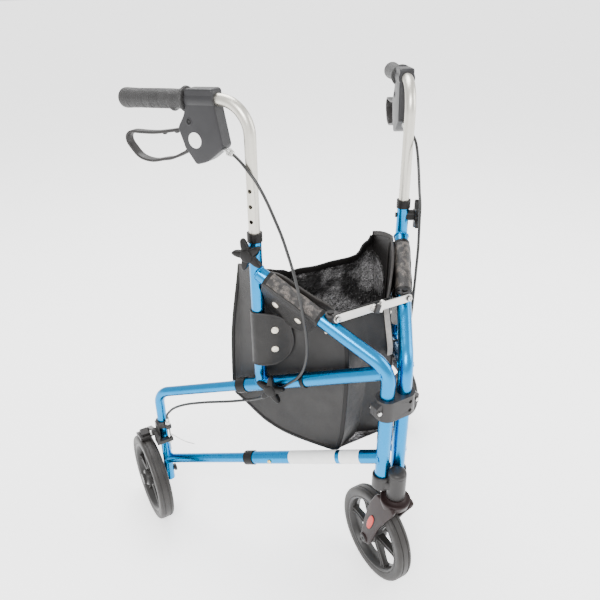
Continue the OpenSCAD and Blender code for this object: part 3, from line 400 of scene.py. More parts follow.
hem_brown = surface("hem_satin", (0.013, 0.0112, 0.0102), (0.021, 0.0185, 0.017), 0.55, scale=160, bump=0.6,
                    bump_scale=420, grain="dots", bump_size=0.0004, specular=0.3)
sleeve_vinyl = surface("sleeve_vinyl", (0.008, 0.007, 0.0066), (0.016, 0.0138, 0.0128), 0.42, scale=330,
                       bump=1.0, bump_scale=420, grain="cells", bump_size=0.0011, rough_var=0.15,
                       specular=0.45, speck_and_sheen=((0.15, 0.128, 0.112), 90, 900))
# The lining's light patches and specks are painted highlights, standing for gloss on its crinkled folds
lining = surface("bag_lining", (0.014, 0.0134, 0.0134), (0.034, 0.0325, 0.0325), 0.26, scale=26, bump=1.0,
                 bump_scale=110, bump_size=0.004, rough_var=0.14, fine=0.6, fine_scale=900, specular=0.7,
                 speck_and_sheen=((0.42, 0.41, 0.415), 16, 420))
# Beige of the binding where light falls on it: a painted sheen, not a separate strap
binding_sheen = surface("binding_painted_sheen", (0.24, 0.22, 0.20), (0.34, 0.31, 0.28), 0.75, scale=160, bump=0.8,
                  bump_scale=420, grain="dots", bump_size=0.0005, sheen=0.3)
steel = surface("zinc_steel", (0.5, 0.5, 0.49), (0.62, 0.62, 0.6), 0.3, metal=1.0, scale=80, bump=0.05,
                bump_scale=1500, rough_var=0.1)
strip_alu = surface("strip_aluminium", (0.58, 0.56, 0.53), (0.7, 0.68, 0.64), 0.38, metal=0.85, scale=90,
                    bump=0.08, bump_scale=1500, stretch=(0.08, 1, 1))
snap_metal = surface("snap_enamel", (0.62, 0.57, 0.47), (0.74, 0.69, 0.58), 0.28, metal=0.45, scale=120)
brass = surface("button_brass", (0.6, 0.42, 0.16), (0.72, 0.53, 0.24), 0.3, metal=1.0, scale=90)
red = surface("reflector_red", (0.40, 0.012, 0.004), (0.5, 0.022, 0.008), 0.34, scale=220, bump=0.6,
              bump_scale=420, grain="cells", bump_size=0.0006, specular=0.3)
sleeve = surface("cable_sleeve", (0.010, 0.010, 0.010), (0.018, 0.018, 0.018), 0.36, scale=60, bump=0.08,
                 specular=0.4)
paper = surface("blank_label", (0.74, 0.74, 0.73), (0.82, 0.82, 0.81), 0.42, scale=70, bump=0.05,
                bump_scale=700)
# Near-black for the insides of holes, slots and sockets and for the recessed housing screws: painted shade of
# the recesses
recess_shade = surface("recess_painted_shade", (0.005, 0.005, 0.005), (0.01, 0.01, 0.01), 0.7, scale=60, specular=0.2)


# Pieces
def piece(name, shapes, matrix, mat, body, replaces=(), sharp=38):
    """A mesh of shapes, placed by matrix, that rides on a body. A shape may number its faces' materials."""
    bm = bmesh.new()
    for shape in shapes:
        made = [bm.verts.new(matrix @ Vector(p)) for p in shape[0]]
        numbers = shape[2] if len(shape) > 2 else [0] * len(shape[1])
        for face, number in zip(shape[1], numbers):
            bm.faces.new([made[i] for i in face]).material_index = number
    bmesh.ops.recalc_face_normals(bm, faces=bm.faces[:])
    me = bpy.data.meshes.new(name)
    bm.to_mesh(me)
    bm.free()
    for one in mat if isinstance(mat, list) else [mat]:
        me.materials.append(one)
    me.shade_smooth()
    me.set_sharp_from_angle(angle=math.radians(sharp))
    o = bpy.data.objects.new(name, me)
    bpy.context.scene.collection.objects.link(o)
    if body:
        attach(o, body)
    if replaces:
        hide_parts(*replaces)
    return o


def dress(node, mat, bevel=0.0, segments=2):
    """A CAD node with its own material, and with rounded edges where a width is given."""
    o = NODES[node]
    me = o.data
    if "custom_normal" in me.attributes:
        me.attributes.remove(me.attributes["custom_normal"])
    me.materials.clear()
    me.materials.append(mat)
    me.shade_smooth()
    weld = o.modifiers.new("weld", "WELD")
    weld.merge_threshold = 1e-5
    if bevel:
        b = o.modifiers.new("edges", "BEVEL")
        b.width, b.segments = bevel * MM, segments
        b.limit_method, b.angle_limit = "ANGLE", math.radians(32)
        b.use_clamp_overlap = True
        b.harden_normals = True
    else:
        split = o.modifiers.new("edges", "EDGE_SPLIT")
        split.split_angle = math.radians(32)
    return o


# Camera at the photograph's viewpoint
def set_camera():
    fwd = Vector((0.4408, 0.7620, -0.4744)).normalized()
    right = Vector((0.8656, -0.5008, 0.0)).normalized()
    up = right.cross(fwd).normalized()
    roll = math.radians(-0.56)
    r2 = right * math.cos(roll) + up * math.sin(roll)
    u2 = up * math.cos(roll) - right * math.sin(roll)
    cam = bpy.data.cameras.new("camera")
    cam.sensor_width, cam.lens = 36.0, 36.94
    o = bpy.data.objects.new("camera", cam)
    bpy.context.scene.collection.objects.link(o)
    m = Matrix((r2, u2, -fwd)).transposed().to_4x4()
    m.translation = Vector((-0.55863, -0.64635 + Y_SHIFT * MM, 1.08477))
    o.matrix_world = m
    cam.clip_start, cam.clip_end = 0.02, 50
    bpy.context.scene.camera = o


set_camera()

# Brake cables, from the handle's adjuster round the frame to the rear brake
CABLE = [[-2.6, 274, 830], [2, 265, 827], [8.5, 253, 822], [13.5, 240, 813], [16.3, 224, 797],
         [18.7, 207, 772], [21, 190, 740], [23, 179, 718], [23, 171, 695], [23, 163, 670], [23, 156, 645],
         [22, 150, 615], [21, 145, 585], [20, 141, 555], [19, 139, 528], [18, 140, 504], [16, 145, 482],
         [13.5, 152, 464], [14.5, 162, 449], [16.5, 176, 436], [17, 190, 423], [15.5, 205, 407],
         [13.5, 220, 394], [12, 238, 382], [10.5, 260, 370], [10, 285, 359], [10, 310, 349], [10, 335, 340],
         [10, 360, 331], [10, 385, 321], [10, 408, 311], [10, 430, 299], [9.5, 448, 286], [8.6, 461, 272],
         [7.7, 469, 260], [7.7, 470, 252.5]]
CABLE_D = 5.0
# Heights between which the cable passes from the handle's motion to the frame's
FREE_TOP, FREE_END = 790, 600
# Place of the brake's wire beside the leg, and height of the shoe's pin
WIRE, SHOE_Z = at(-5, -21, 0), 212.0
for side in SIDES:
    m = side_frame(side)
    line = spline(CABLE, 6)
    path = [m @ Vector(p) for p in line]
    o = piece(side + "_brake_cable", [round_tube(line, CABLE_D / 2, 14)], m, sleeve, None, sharp=60)
    length = sum((b - a).length for a, b in zip(path, path[1:]))
    start, end = (tuple(m @ Vector((20, 207, z))) for z in (FREE_TOP, FREE_END))
    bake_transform(o)
    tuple(start)
    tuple(end)
    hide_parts(side + "_cable")
    tuple(path[0])
    [tuple(p) for p in path]
    foot = straight(side, LEG_S) @ WIRE
    wire = lathe([(0, 168), (1.1, 168), (1.2, 170), (1.2, 180), (0.8, 181), (0.8, 223), (0, 223)], 12)
    piece(side + "_brake_wire", [wire], foot, steel, side + "_frame")
    clamp = lathe([(0, 187), (3.4, 187), (4, 188), (4, 192.4), (3.4, 193), (0, 193)], 6)
    piece(side + "_wire_clamp", [clamp], foot, steel, side + "_frame", sharp=25)


# Rear brake clips: two rings on the leg joined by a spine, a horn for the cable's barrel and the shoe's pin
def leg_ring(z0, z1, r):
    return lathe([(10.1, z0), (r - 0.9, z0), (r, z0 + 0.9), (r, z1 - 0.9), (r - 0.9, z1), (10.1, z1)], 48,
                 closed=True)


def brake_clip():
    spine = slab(rounded(rect(-8, 8, 187, 235), 3, 4), 5, 1.0, 3, 12.6)
    horn = slab(rounded(rect(-27, -9, 226, 236.5), 3, 4), 12, 2.0, 3, -5)
    boss = moved(lathe([(0, 10.5), (7, 10.5), (7, 16.2), (6.2, 17), (0, 17)], 40), at(0, 0, SHOE_Z) @ TO_X)
    return [leg_ring(222, 237, 14.2), leg_ring(185, 194, 13.8), spine, horn, boss]


for side in SIDES:
    leg = straight(side, LEG_S)
    piece(side + "_brake_clip", brake_clip(), leg, plastic, side + "_frame", [side + "_brake_bracket"],
          sharp=42)
    pin = lathe([(0, 16), (3, 16), (3, 27.4), (6, 27.4), (6, 29.2), (5.2, 29.8), (0, 29.8)], 32)
    piece(side + "_shoe_pin", [pin], leg @ at(0, 0, SHOE_Z) @ TO_X, steel, side + "_frame",
          sharp=40)
    coil = lathe([(0, 205)] + [(3.3 + 0.35 * (-1) ** k, 205.2 + 0.8 * k) for k in range(26)] + [(0, 225.4)], 24)
    nut = lathe([(0, 236.6), (4.6, 236.6), (5, 237.2), (5, 243.4), (4.6, 244), (0, 244)], 6)
    barrel = lathe([(0, 225), (3, 225), (3, 250), (2.7, 251.6), (0, 251.6)], 28)
    piece(side + "_cable_barrel", [coil, nut, barrel], leg @ WIRE, steel, side + "_frame",
          sharp=28)
    tail = spline([(0, 474, 203), (-1, 470, 201.5), (-1, 461, 199.5), (0, 446, 197), (0, 430, 195.3),
                   (0, 412, 197)], 6)
    piece(side + "_wire_tail", [round_tube(tail, 0.8, 8)], side_frame(side), steel, side + "_frame",
          sharp=60)

# Tubes and weld beads
for side in SIDES:
    for n in ("main_tube", "mid_rail", "lower_rail", "rear_upright", "rear_leg"):
        dress(f"{side}_{n}", blue)
    dress(f"{side}_handle_tube", silver)


def bend_line():
    """Centre line of the main tube, in frame axes."""
    r, turn = 50.0, math.pi / 2 - DIAG
    reach = r * math.tan(turn / 2)
    pts = [(0, 0, z) for z in (236, 300, 400, DIAG_Z - reach)]
    pts += [(0, r - r * math.cos(a), DIAG_Z - reach + r * math.sin(a)) for a in np.linspace(0, turn, 24)]
    pts += [(0, s, diag_z(s)) for s in (60, 120, 180, 237)]
    return np.array(pts, float)


def distance_to(line, p):
    """Distance from a point to a line of points."""
    a, b = line[:-1], line[1:]
    d = b - a
    t = np.clip(np.sum((p - a) * d, 1) / np.sum(d * d, 1), 0, 1)
    return np.min(np.linalg.norm(p - (a + d * t[:, None]), axis=1))


def weld(start, axis, r, line, line_r, far, n=72):
    """Bead round a tube of radius r where it meets another tube."""
    start, axis = np.array(start, float), unit(np.array(axis, float))
    u = unit(np.cross(axis, (1, 0, 0)))
    w = np.cross(axis, u)
    pts, radii = [], []
    for i in range(n):
        a = 2 * math.pi * i / n
        base = start + r * (math.cos(a) * u + math.sin(a) * w)
        lo, hi = 0.0, far
        if distance_to(line, base) > line_r:
            pts.append(base)
        else:
            for _ in range(28):
                mid = (lo + hi) / 2
                lo, hi = (mid, hi) if distance_to(line, base + axis * mid) < line_r else (lo, mid)
            pts.append(base + axis * lo)
        radii.append(1.9 + 0.35 * math.sin(i * 2 * math.pi / 4.5))
    return round_tube(pts, radii, 8, closed=True)


MAIN_LINE = bend_line()
UP_LINE = np.array([(0, UP_S, 390), (0, UP_S, 700)], float)
LEG_LINE = np.array([(0, LEG_S, 72), (0, LEG_S, 300)], float)
RAIL_DIR = (0, math.cos(RAIL), -math.sin(RAIL))
DIAG_DIR = (0, -math.cos(DIAG), -math.sin(DIAG))
MID_LINE = np.array([(0, s, rail_z(MID_Z, s)) for s in (10, 279)], float)
for side in SIDES:
    beads = [weld((0, 5, rail_z(LOW_Z, 5)), RAIL_DIR, TUBE_R, MAIN_LINE, TUBE_R, 30),
             weld((0, 10, rail_z(MID_Z, 10)), RAIL_DIR, TUBE_R, MAIN_LINE, TUBE_R, 50),
             weld((0, UP_S - 4, diag_z(UP_S - 4)), DIAG_DIR, TUBE_R, UP_LINE, UP_R, 30),
             weld((0, UP_S, rail_z(MID_Z, UP_S)), (0, 0, 1), UP_R, MID_LINE, TUBE_R, 40),
             weld((0, LEG_S - 2, rail_z(LOW_Z, LEG_S - 2)), [-c for c in RAIL_DIR], LEG_R, LEG_LINE, LEG_R, 30)]
    piece(side + "_welds", beads, side_frame(side), blue, side + "_frame", sharp=80)

# Blank label wraps on the lower rail
for side in SIDES:
    for k, (s0, s1) in enumerate(((40, 78), (86, 182))):
        length = (s1 - s0) / math.cos(RAIL)
        ring = [(r * math.cos(a), r * math.sin(a)) for r, turn in ((12.86, 2.2), (12.72, -2.2))
                for a in np.linspace(-turn, turn, 40)]
        shape = sections([[(x, y, z) for x, y in ring] for z in (0, length)])
        piece(f"{side}_label_{k}", [shape], along_rail(side, LOW_Z, s0), paper, side + "_frame", sharp=30)

# Fittings that keep their CAD shape, with the width and steps of their rounded edges
KEPT = (("tube_collars", knob_plastic, 0.9, 3), ("brake_shoe", plastic, 1.0, 3),
        ("brace_bracket", plastic, 0.7, 2), ("brace_link", strip_alu, 0.4, 2),
        ("rear_axle", rim_plastic, 0.6, 2), ("rear_bearings", steel, 0.3, 2), ("leg_button", brass, 0.6, 3))
for side in SIDES:
    for n, *look in KEPT:
        dress(f"{side}_{n}", *look)
for n, *look in (("front_clamp", plastic, 1.6, 3), ("rear_clamp", plastic, 1.6, 3),
                 ("clamp_screws", steel, 0.5, 2), ("caster_stem", steel, 0.5, 2),
                 ("front_axle", rim_plastic, 0.6, 2), ("front_bearings", steel, 0.3, 2)):
    dress(n, *look)


# Star knobs
def star(h=10.0, r_out=29.0, r_in=12.6, lobes=5, n=200):
    """Five-lobed knob with narrow rounded lobes and softened edges."""
    def outline(k, z):
        pts = []
        for a in around(n):
            wave = 0.5 + 0.5 * math.cos(lobes * (a - math.pi / 2))
            r = r_in * min(1.0, k + 0.06) + (r_out - r_in) * wave ** 1.7 * k
            pts.append((r * math.cos(a), r * math.sin(a), z))
        return pts
    rise = ((0.86, 0), (0.96, 0.6), (1.0, 2.0), (1.0, h - 4.0), (0.97, h - 2.0), (0.88, h - 0.7), (0.7, h),
            (0.3, h + 0.2), (0.02, h + 0.3))
    return sections([outline(k, z) for k, z in rise])


KNOB_OUT = 21.0
KNOBS = (("height_knob", UP_S, 677.0, HANDLE_R, 0.0), ("leg_knob", 208.0, rail_z(MID_Z, 208.0), LEG_R, 20.0))
for side in SIDES:
    for name, s, z, tip, turn in KNOBS:
        cap = lathe([(0, KNOB_OUT + 9), (11.2, KNOB_OUT + 9), (11.2, KNOB_OUT + 10.6), (10.4, KNOB_OUT + 11.8),
                     (8.6, KNOB_OUT + 12.5), (4.0, KNOB_OUT + 12.9), (0, KNOB_OUT + 13.0)], 48)
        stud = lathe([(0, tip + 0.3), (2.4, tip + 0.3), (3, tip + 1), (3, KNOB_OUT + 1), (0, KNOB_OUT + 1)], 24)
        skirt = lathe([(0, KNOB_OUT), (9.6, KNOB_OUT), (9.6, KNOB_OUT + 3), (0, KNOB_OUT + 3)], 40)
        lobes = moved(star(), at(0, 0, KNOB_OUT) @ rot("Z", math.radians(turn)))
        piece(f"{side}_{name}_star", [lobes, cap, stud, skirt], outward(side, s, z), knob_plastic,
              f"{side}_{name}_body", [f"{side}_{name}"], sharp=48)

# Grips
GRIP_FROM, GRIP_LEN = 113.0, 138.0


def grip():
    """Ribbed grip: flange, finger rings that fade towards the top, and a mushroomed end."""
    stations = np.linspace(0, GRIP_LEN, 150)
    n = 64
    rings = []
    for z in stations:
        base = np.interp(z, [0, 1.2, 3.6, 6, 9, 18, 30, 60, 100, 118, 128, 133, 136.5, 138],
                         [17.2, 19.4, 20.0, 18.6, 16.4, 14.9, 15.4, 15.6, 15.5, 16.0, 16.5, 15.8, 13.2, 10.0])
        ring = []
        for a in around(n):
            down = 0.5 + 0.5 * math.sin(a)
            r = base
            if 34 < z < 116:
                phase = (z - 34) / 82 * 5
                r -= 0.9 * down ** 0.8 * max(0.0, math.cos(2 * math.pi * phase)) ** 8
            r += 3.6 * down ** 3 * math.exp(-((z - 28) / 4.6) ** 2)
            ring.append((r * math.cos(a), r * math.sin(a), z))
        rings.append(ring)
    rings.append([(6 * math.cos(a), 6 * math.sin(a), GRIP_LEN + 0.2) for a in around(n)])
    first = [(HANDLE_R + 0.1) / 17.2 * np.array(p) for p in rings[0]]
    return sections([first] + rings)


for side in SIDES:
    piece(side + "_ribbed_grip", [grip()], along_handle(side, GRIP_FROM), rubber, side + "_handle",
          [side + "_grip"], sharp=50)

# Brake housings with their screws and blank badges
HOUSING = [(56, 925), (60, 928), (108, 925), (111, 921), (112, 900), (115, 886), (127, 868), (129, 863),
           (117, 832), (110, 824), (100, 811), (96, 809), (76, 815), (45, 839), (43, 844), (55, 903)]
HOUSING_ROUND = [3, 3, 3, 3, 8, 8, 6, 5, 8, 5, 4, 4, 12, 4, 4, 30]
HOUSING_W = 26.0
SHELL = slab(rounded(HOUSING, HOUSING_ROUND, 6), HOUSING_W, 3.2, 5)
SCREW = lathe([(0, 0), (4.1, 0), (4.1, 0.55), (3.526, 1), (2.05, 1), (1.722, 0.45), (0, 0.45)], 32)
SLEEVE_R = HANDLE_R + 0.2
for side in SIDES:
    m = handle(side)
    piece(side + "_housing_shell", [SHELL], m, housing_plastic, side + "_handle", [side + "_brake_housing"],
          sharp=42)
    neck = lathe([(SLEEVE_R, 0), (13.2, 0), (14.6, 1.4), (14.8, 4), (14.8, 53), (14.2, 55), (SLEEVE_R, 55)],
                 56, closed=True)
    piece(side + "_housing_sleeve", [neck], along_handle(side, 55.5), housing_plastic, side + "_handle")
    for face, tag in ((1, "o"), (-1, "i")):
        spot = m @ at(face * HOUSING_W / 2, 105, 876) @ rot("Y", face * math.pi / 2)
        well = lathe([(3.6, -0.6), (6.4, -0.6), (6.4, 0.25), (5.9, 0.5), (4.6, 0.5), (4.2, -0.2), (3.6, -0.2)],
                     40, closed=True)
        piece(f"{side}_screw_well_{tag}", [well], spot, housing_plastic, side + "_handle")
        # The housing screws are painted near-black: painted shade of their recessed wells
        piece(f"{side}_housing_screw_{tag}", [SCREW], spot @ at(0, 0, -0.5), recess_shade,
              side + "_handle")
    badge = m @ at(HOUSING_W / 2, 96, 848) @ TO_X
    disc = lathe([(0, -0.2), (12.4, -0.2), (12.5, 0.1), (12.2, 0.45), (11.4, 0.5), (0, 0.55)], 64)
    piece(side + "_blank_badge", [disc], badge, paper, side + "_handle")


# Barrel adjusters
def knurled(r, z0, z1, n=60):
    """Toothed ring of mean radius r, as a solid disc."""
    teeth = [r + 0.25 * (-1) ** k for k in range(n)]
    rim_line = [(q * math.cos(a), q * math.sin(a)) for q, a in zip(teeth, around(n))]
    lay = [(0.9, z0), (1.0, z0 + 0.6), (1.0, z1 - 0.6), (0.9, z1)]
    return sections([[(q * x, q * y, z) for x, y in rim_line] for q, z in lay])


ADJUSTER = [knurled(6.2, 13.2, 17.6), knurled(5.2, 18.0, 21.8),
            lathe([(0, 0), (4, 0), (4, 22), (2.8, 23.2), (2.6, 23.4), (0, 23.4)], 32)]
for side in SIDES:
    m = handle(side) @ at(0, 54, 840) @ rot("X", math.radians(115))
    piece(side + "_barrel_adjuster", ADJUSTER, m, steel, side + "_handle", [side + "_cable_adjuster"],
          sharp=30)

# Loop levers
LOOP = [(134, 858.5), (160, 853.5), (186, 849), (212, 847), (232, 846.2), (241, 844), (247.5, 838),
        (248.6, 831), (246, 824.5), (239, 816.5), (231, 808.6), (222, 803.6), (212, 801.4), (200, 800.9),
        (190, 802), (172, 806.5), (155, 810.3), (142, 815.5), (131, 820.8), (121, 826.5), (117, 836),
        (118, 848), (124, 856)]
LEVER_ROOT = [(86, 859), (122, 860), (127, 850), (124, 832), (116, 825), (92, 842), (85, 848)]


def lever():
    line = spline(LOOP, 5, closed=True)
    rings = []
    for (y, z), (dy, dz) in zip(line, tangents(line, closed=True)):
        w = float(np.interp(y, [112, 128, 150, 251], [11.6, 11.8, 16, 16]))
        t = float(np.interp(y, [112, 128, 150, 200, 251], [6.0, 5.2, 4.4, 4.2, 4.6]))
        rings.append([(b, y - a * dz, z + a * dy) for a, b in band(t, w, 1.4, 4)])
    root = slab(rounded(LEVER_ROOT, 4, 5), 11.6, 1.2)
    bumps = [moved(lathe([(0, 0), (4.6, 0), (4.2, 1.8), (2.6, 3.2), (0, 3.7)], 24),
                   at(0, y, z) @ rot("X", math.pi)) for y, z in ((142, 855.5), (168, 850.5))]
    return [sections(rings, closed=True), root] + bumps


for side in SIDES:
    piece(side + "_loop_lever", lever(), handle(side), plastic, side + "_lever", [side + "_brake_lever"],
          sharp=45)


# Wheels
def tyre():
    half = [(77.2, 12.6), (78.4, 13.6), (80.4, 14.1), (84.6, 14.9), (88.6, 14.9), (91.6, 14.2), (93.6, 12.6),
            (94.6, 10.6), (95, 8.2), (94.9, 7.4), (93.7, 7.0), (93.5, 6.2), (93.7, 5.2), (94.9, 4.8),
            (95, 4.2), (95, 1.6)]
    return lathe(mirrored(half), 128, closed=True)


def rim():
    lip = lathe(mirrored([(77.1, 12.4), (76.4, 13.2), (74.6, 13.4), (73.2, 12.8), (71.6, 11.4), (70.4, 4.0),
                          (69.2, 2.4)]), 128, closed=True)
    hub = lathe(mirrored([(6.2, -18), (11.2, -18), (11.4, -17.2), (12.4, -16.2), (15.4, -16.2), (16.6, -15.0),
                          (17, -13)]), 64, closed=True)
    bars = []
    for i in range(6):
        rings = []
        for u in np.linspace(0, 1, 15):
            r = 14 + u * 57.2
            flare = math.exp(-((u) / 0.16) ** 2) + math.exp(-((1 - u) / 0.12) ** 2)
            w = 6.1 - 0.9 * u + 1.9 * flare * (0.55 if u < 0.5 else 1.2)
            t = 7.6 - 2.2 * u + 2.6 * math.exp(-((1 - u) / 0.1) ** 2)
            sec = [(w, t * 0.45), (w * 0.93, t * 0.92), (w * 0.72, t), (w * 0.45, t * 0.9),
                   (w * 0.2, t * 0.62), (0, t * 0.56)]
            sec = sec + [(-a, b) for a, b in sec[-2::-1]]
            sec = sec + [(a, -b) for a, b in sec[::-1]]
            rings.append([(r, a, b) for a, b in sec])
        bars.append(moved(sections(rings), rot("Z", math.radians(60 * i + 30))))
    return [lip, hub] + bars


def wheel(prefix, matrix, body):
    piece(prefix + "_moulded_tyre", [tyre()], matrix, tyre_pu, body, [prefix + "_tyre"], sharp=40)
    piece(prefix + "_spoked_rim", rim(), matrix, rim_plastic, body, [prefix + "_rim"], sharp=46)


wheel("front", CENTRE @ at(0, FRONT_AXLE_Y, AXLE_Z) @ TO_X, "front_wheel")
for side in SIDES:
    wheel(side + "_rear", straight(side, LEG_S) @ at(38, 0, AXLE_Z) @ TO_X, side + "_rear_wheel")

# Caster fork with its flared crown, reflectors and bolt ends
FORK_LEG = [(9.7, 218), (22, 190), (28, 160), (33, 132), (36.5, 99), (37, 86), (26, 82), (10, 89), (4, 103),
            (-3, 130), (-14, 159), (-32, 192), (-44, 212), (-47.6, 223), (-42, 229), (2, 229)]
STEM_Y = -22.0
SPLAY = 5.4 / 135
LENS = (22.0, 8.0)


def fork_outer(z):
    """Half width over the fork's plates, which spread towards the axle."""
    return 24.8 + (225 - z) * SPLAY


def fork():
    plate = slab(rounded(FORK_LEG, 14, 6), 8.0, 2.6, 4)
    legs = [([(side * (fork_outer(z) - 4) + x, y, z) for x, y, z in plate[0]], plate[1]) for side in (-1, 1)]
    rings = []
    for r, z, lift, rise in ((7, 212, 1, 0), (7, 234.4, 0, 0), (16.4, 234.4, 0, 0), (18.0, 233.2, 0, 0),
                             (20.4, 231.6, 0, 0.2), (23.4, 231.0, 0, 0.8), (25.6, 231.2, 0, 1),
                             (27.2, 230.6, 0, 1), (27.8, 229.2, 0, 1), (27.4, 225, 0.1, 0.6),
                             (25.8, 217, 0.6, 0.2), (24.2, 208, 1, 0), (20, 205.6, 1, 0), (7, 205.6, 1, 0)):
        ring = []
        for a in around(72):
            front, rear = max(0.0, -math.sin(a)) ** 1.5, max(0.0, math.sin(a)) ** 1.5
            ring.append((r * math.cos(a), STEM_Y + r * math.sin(a), z + 8 * front * lift + 3.2 * rear * rise))
        rings.append(ring)
    return legs + [sections(rings, closed=True)]


def oval(profile, closed=False):
    """Skin over the reflector's stadium, from (inset, height) pairs."""
    rings = []
    for d, z in profile:
        ring = []
        for a in around(72):
            c, q = math.cos(a), math.sin(a)
            ring.append(((LENS[0] - d) * math.copysign(abs(c) ** 0.82, c),
                         (LENS[1] - d) * math.copysign(abs(q) ** 0.82, q), z))
        rings.append(ring)
    return sections(rings, closed)


piece("moulded_fork", fork(), CENTRE, fork_plastic, "caster", ["caster_fork"], sharp=48)
for x in (-1, 1):
    out = CENTRE @ at(x * fork_outer(151), 11, 151) @ rot("Y", -x * math.atan(SPLAY))
    out = out @ rot("X", math.radians(17.6)) @ rot("Y", x * math.pi / 2)
    tag = "left" if x > 0 else "right"
    lens = oval([(1.2, -0.6), (1.0, 0.5), (1.6, 1.1), (3.4, 1.4), (7.4, 1.6)])
    lens_frame = oval([(1.2, -0.5), (0, -0.5), (0, 0.6), (0.4, 1.0), (1.0, 1.0), (1.2, 0.4)], closed=True)
    r = piece(f"reflector_lens_{tag}", [lens], out, red, "caster", sharp=60)
    if x > 0:
        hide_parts("fork_reflectors")
    piece(f"reflector_frame_{tag}", [lens_frame], out, fork_plastic, "caster", sharp=60)
    bolt = CENTRE @ at(x * 30.0, FRONT_AXLE_Y, AXLE_Z) @ rot("Y", x * math.pi / 2)
    well = lathe([(7.2, -1.2), (10.4, -1.2), (10.4, 0.9), (9.7, 1.6), (8.2, 1.6), (7.2, 0.8)], 48, closed=True)
    piece(f"fork_bolt_well_{tag}", [well], bolt, fork_plastic, "caster")
    # The axle's hex socket is a thin near-black disc: painted shade inside the socket
    socket = lathe([(0, 2.3), (3.6, 2.3), (3.9, 2.62), (0, 2.62)], 6)
    piece(f"axle_socket_shade_{tag}", [socket], bolt, recess_shade, "caster", sharp=30)


# Caster head: boss with domed cap, sockets and web. The boss leaves room for the uprights in their sockets
UPRIGHT_FOOT, UPRIGHT_ROOM = 257.0, 13.0


def head():
    boss = [(7, 236), (15.8, 236), (16.8, 237), (17, 239), (17, 256.6), (17, UPRIGHT_FOOT), (17, 285.4),
            (16.6, 285.8), (16.6, 286.6), (17, 287), (17, 290), (16.0, 293.2), (13.0, 295.6), (7.5, 296.8),
            (0, 297)]
    points, faces = moved(lathe(boss, 96), at(0, STEM_Y, 0))
    faces.append(tuple(range(96))[::-1])
    for k, (x, y, z) in enumerate(points):
        off = x - math.copysign(E, x)
        gap = math.hypot(off, y)
        if z >= UPRIGHT_FOOT and gap < UPRIGHT_ROOM:
            points[k] = (x - off + off * UPRIGHT_ROOM / gap, y * UPRIGHT_ROOM / gap, z)
    parts = [(points, faces)]
    socket = [(0, 252), (15.6, 252), (16.8, 253.2), (17, 255), (17, 274), (16.9, 277.6), (16.2, 279.4),
              (15, 280), (13.4, 279.6), (12.85, 278.4), (12.85, 257.1), (0, 257.1)]
    parts += [moved(lathe(socket, 64), at(x, 0, 0)) for x in (-E, E)]
    plan = hull2d(disc_points(0, STEM_Y, 14.2) + disc_points(-E, -1, 13.5) + disc_points(E, -1, 13.5))
    return parts + [moved(slab(rounded(plan, 1.5, 2), 16, 3.0, 4), lying(264))]


piece("head_body", head(), CENTRE, plastic, "head", ["head_casting"], sharp=44)
# The clamp's set-screw sockets are thin near-black discs: painted shade of the holes
for k, z in enumerate((-8.8, 8.8)):
    piece(f"clamp_socket_shade_{k}", [lathe([(0, 0), (3.1, 0), (3.1, 0.15), (0, 0.15)], 24)],
          CENTRE @ at(E, -16.85, CLAMP_Z + z) @ rot("X", math.pi / 2), recess_shade, "head")

# Brace details: screws and the finger tab, from the place of its pins along the frame and its arm's length
BRACE_S, POST_S, BRACE_ARM = 105.0, 114.0, 72.12
PIN_Z = diag_z(POST_S) + TUBE_R / math.cos(DIAG) - 0.4
STRIP_T, STRIP_GAP = 2.5, 0.3
TAB_TURN = rot("Z", math.radians(-20))
PIN_HEAD = lathe([(0, 0), (4.6, 0), (4.6, 0.9), (3.772, 1.7), (2.07, 2.1), (0, 2.2)], 36)
PIN_SLOT = slab(rect(-0.4, 0.4, -2.0, 2.0), 0.3, 0.05, 1)


def brace_pin(side, layer):
    """At the front of a brace strip's pin, with Z forward. The left strip lies one layer further forward."""
    return straight(side, BRACE_S) @ at(-5, -12 - layer, PIN_Z) @ rot("X", math.pi / 2)


for side in SIDES:
    m = brace_pin(side, 2 * (STRIP_GAP + STRIP_T) + (STRIP_GAP + STRIP_T if side == "left" else 0))
    piece(side + "_pin_screw", [PIN_HEAD], m, steel, side + "_brace_swivel", sharp=50)
    # The screw's cross slot is thin near-black plates: painted shade inside the slot
    for k, a in enumerate((0.6, 0.6 + math.pi / 2)):
        piece(f"{side}_pin_slot_shade_{k}", [PIN_SLOT], m @ at(0, 0, 2.12) @ rot("Z", a) @ TO_X, recess_shade,
              side + "_brace_swivel")

link_m = brace_pin("left", 2 * STRIP_GAP + STRIP_T) @ at(3 - BRACE_ARM, 0, STRIP_T) @ TAB_TURN
tab = moved(slab(rounded(rect(-4.9, 4.9, -7.3, 8.6), 1.4, 4), 5.9, 1.0), lying(2.6))
piece("brace_finger_tab", [tab], link_m, plastic, "left_brace_arm", sharp=40)

# Bag: measured edges of a side panel in frame axes (s, z), from which all its panels hang
BAG_T = -17.3
DIAG_C, DIAG_S = math.cos(DIAG), math.sin(DIAG)
EDGE_FRONT = [(90, 292), (85, 315), (82, 337), (78, 410), (77, 450), (77, 490), (81, 515), (92, 545),
              (106, 570)]
EDGE_REAR = [(315.8, 344.3), (320.4, 359.4), (322, 376.5), (323.2, 420.3), (322.3, 473.1), (319.1, 511.6),
             (314.8, 546.2), (309.6, 583.7), (305.4, 617)]
EDGE_BOTTOM = [(90, 292), (96, 287.5), (105, 285), (154, 286.5), (190, 290), (220, 297), (255, 312),
               (290, 331), (305, 338), (315.8, 344.3)]
EDGE_TOP = [(106, 572), (118.4, 585), (135.6, 594), (152.9, 603), (174.6, 615), (189.8, 624), (207, 630),
            (226, 631), (244, 632), (265, 630), (285, 625), (305.4, 617)]


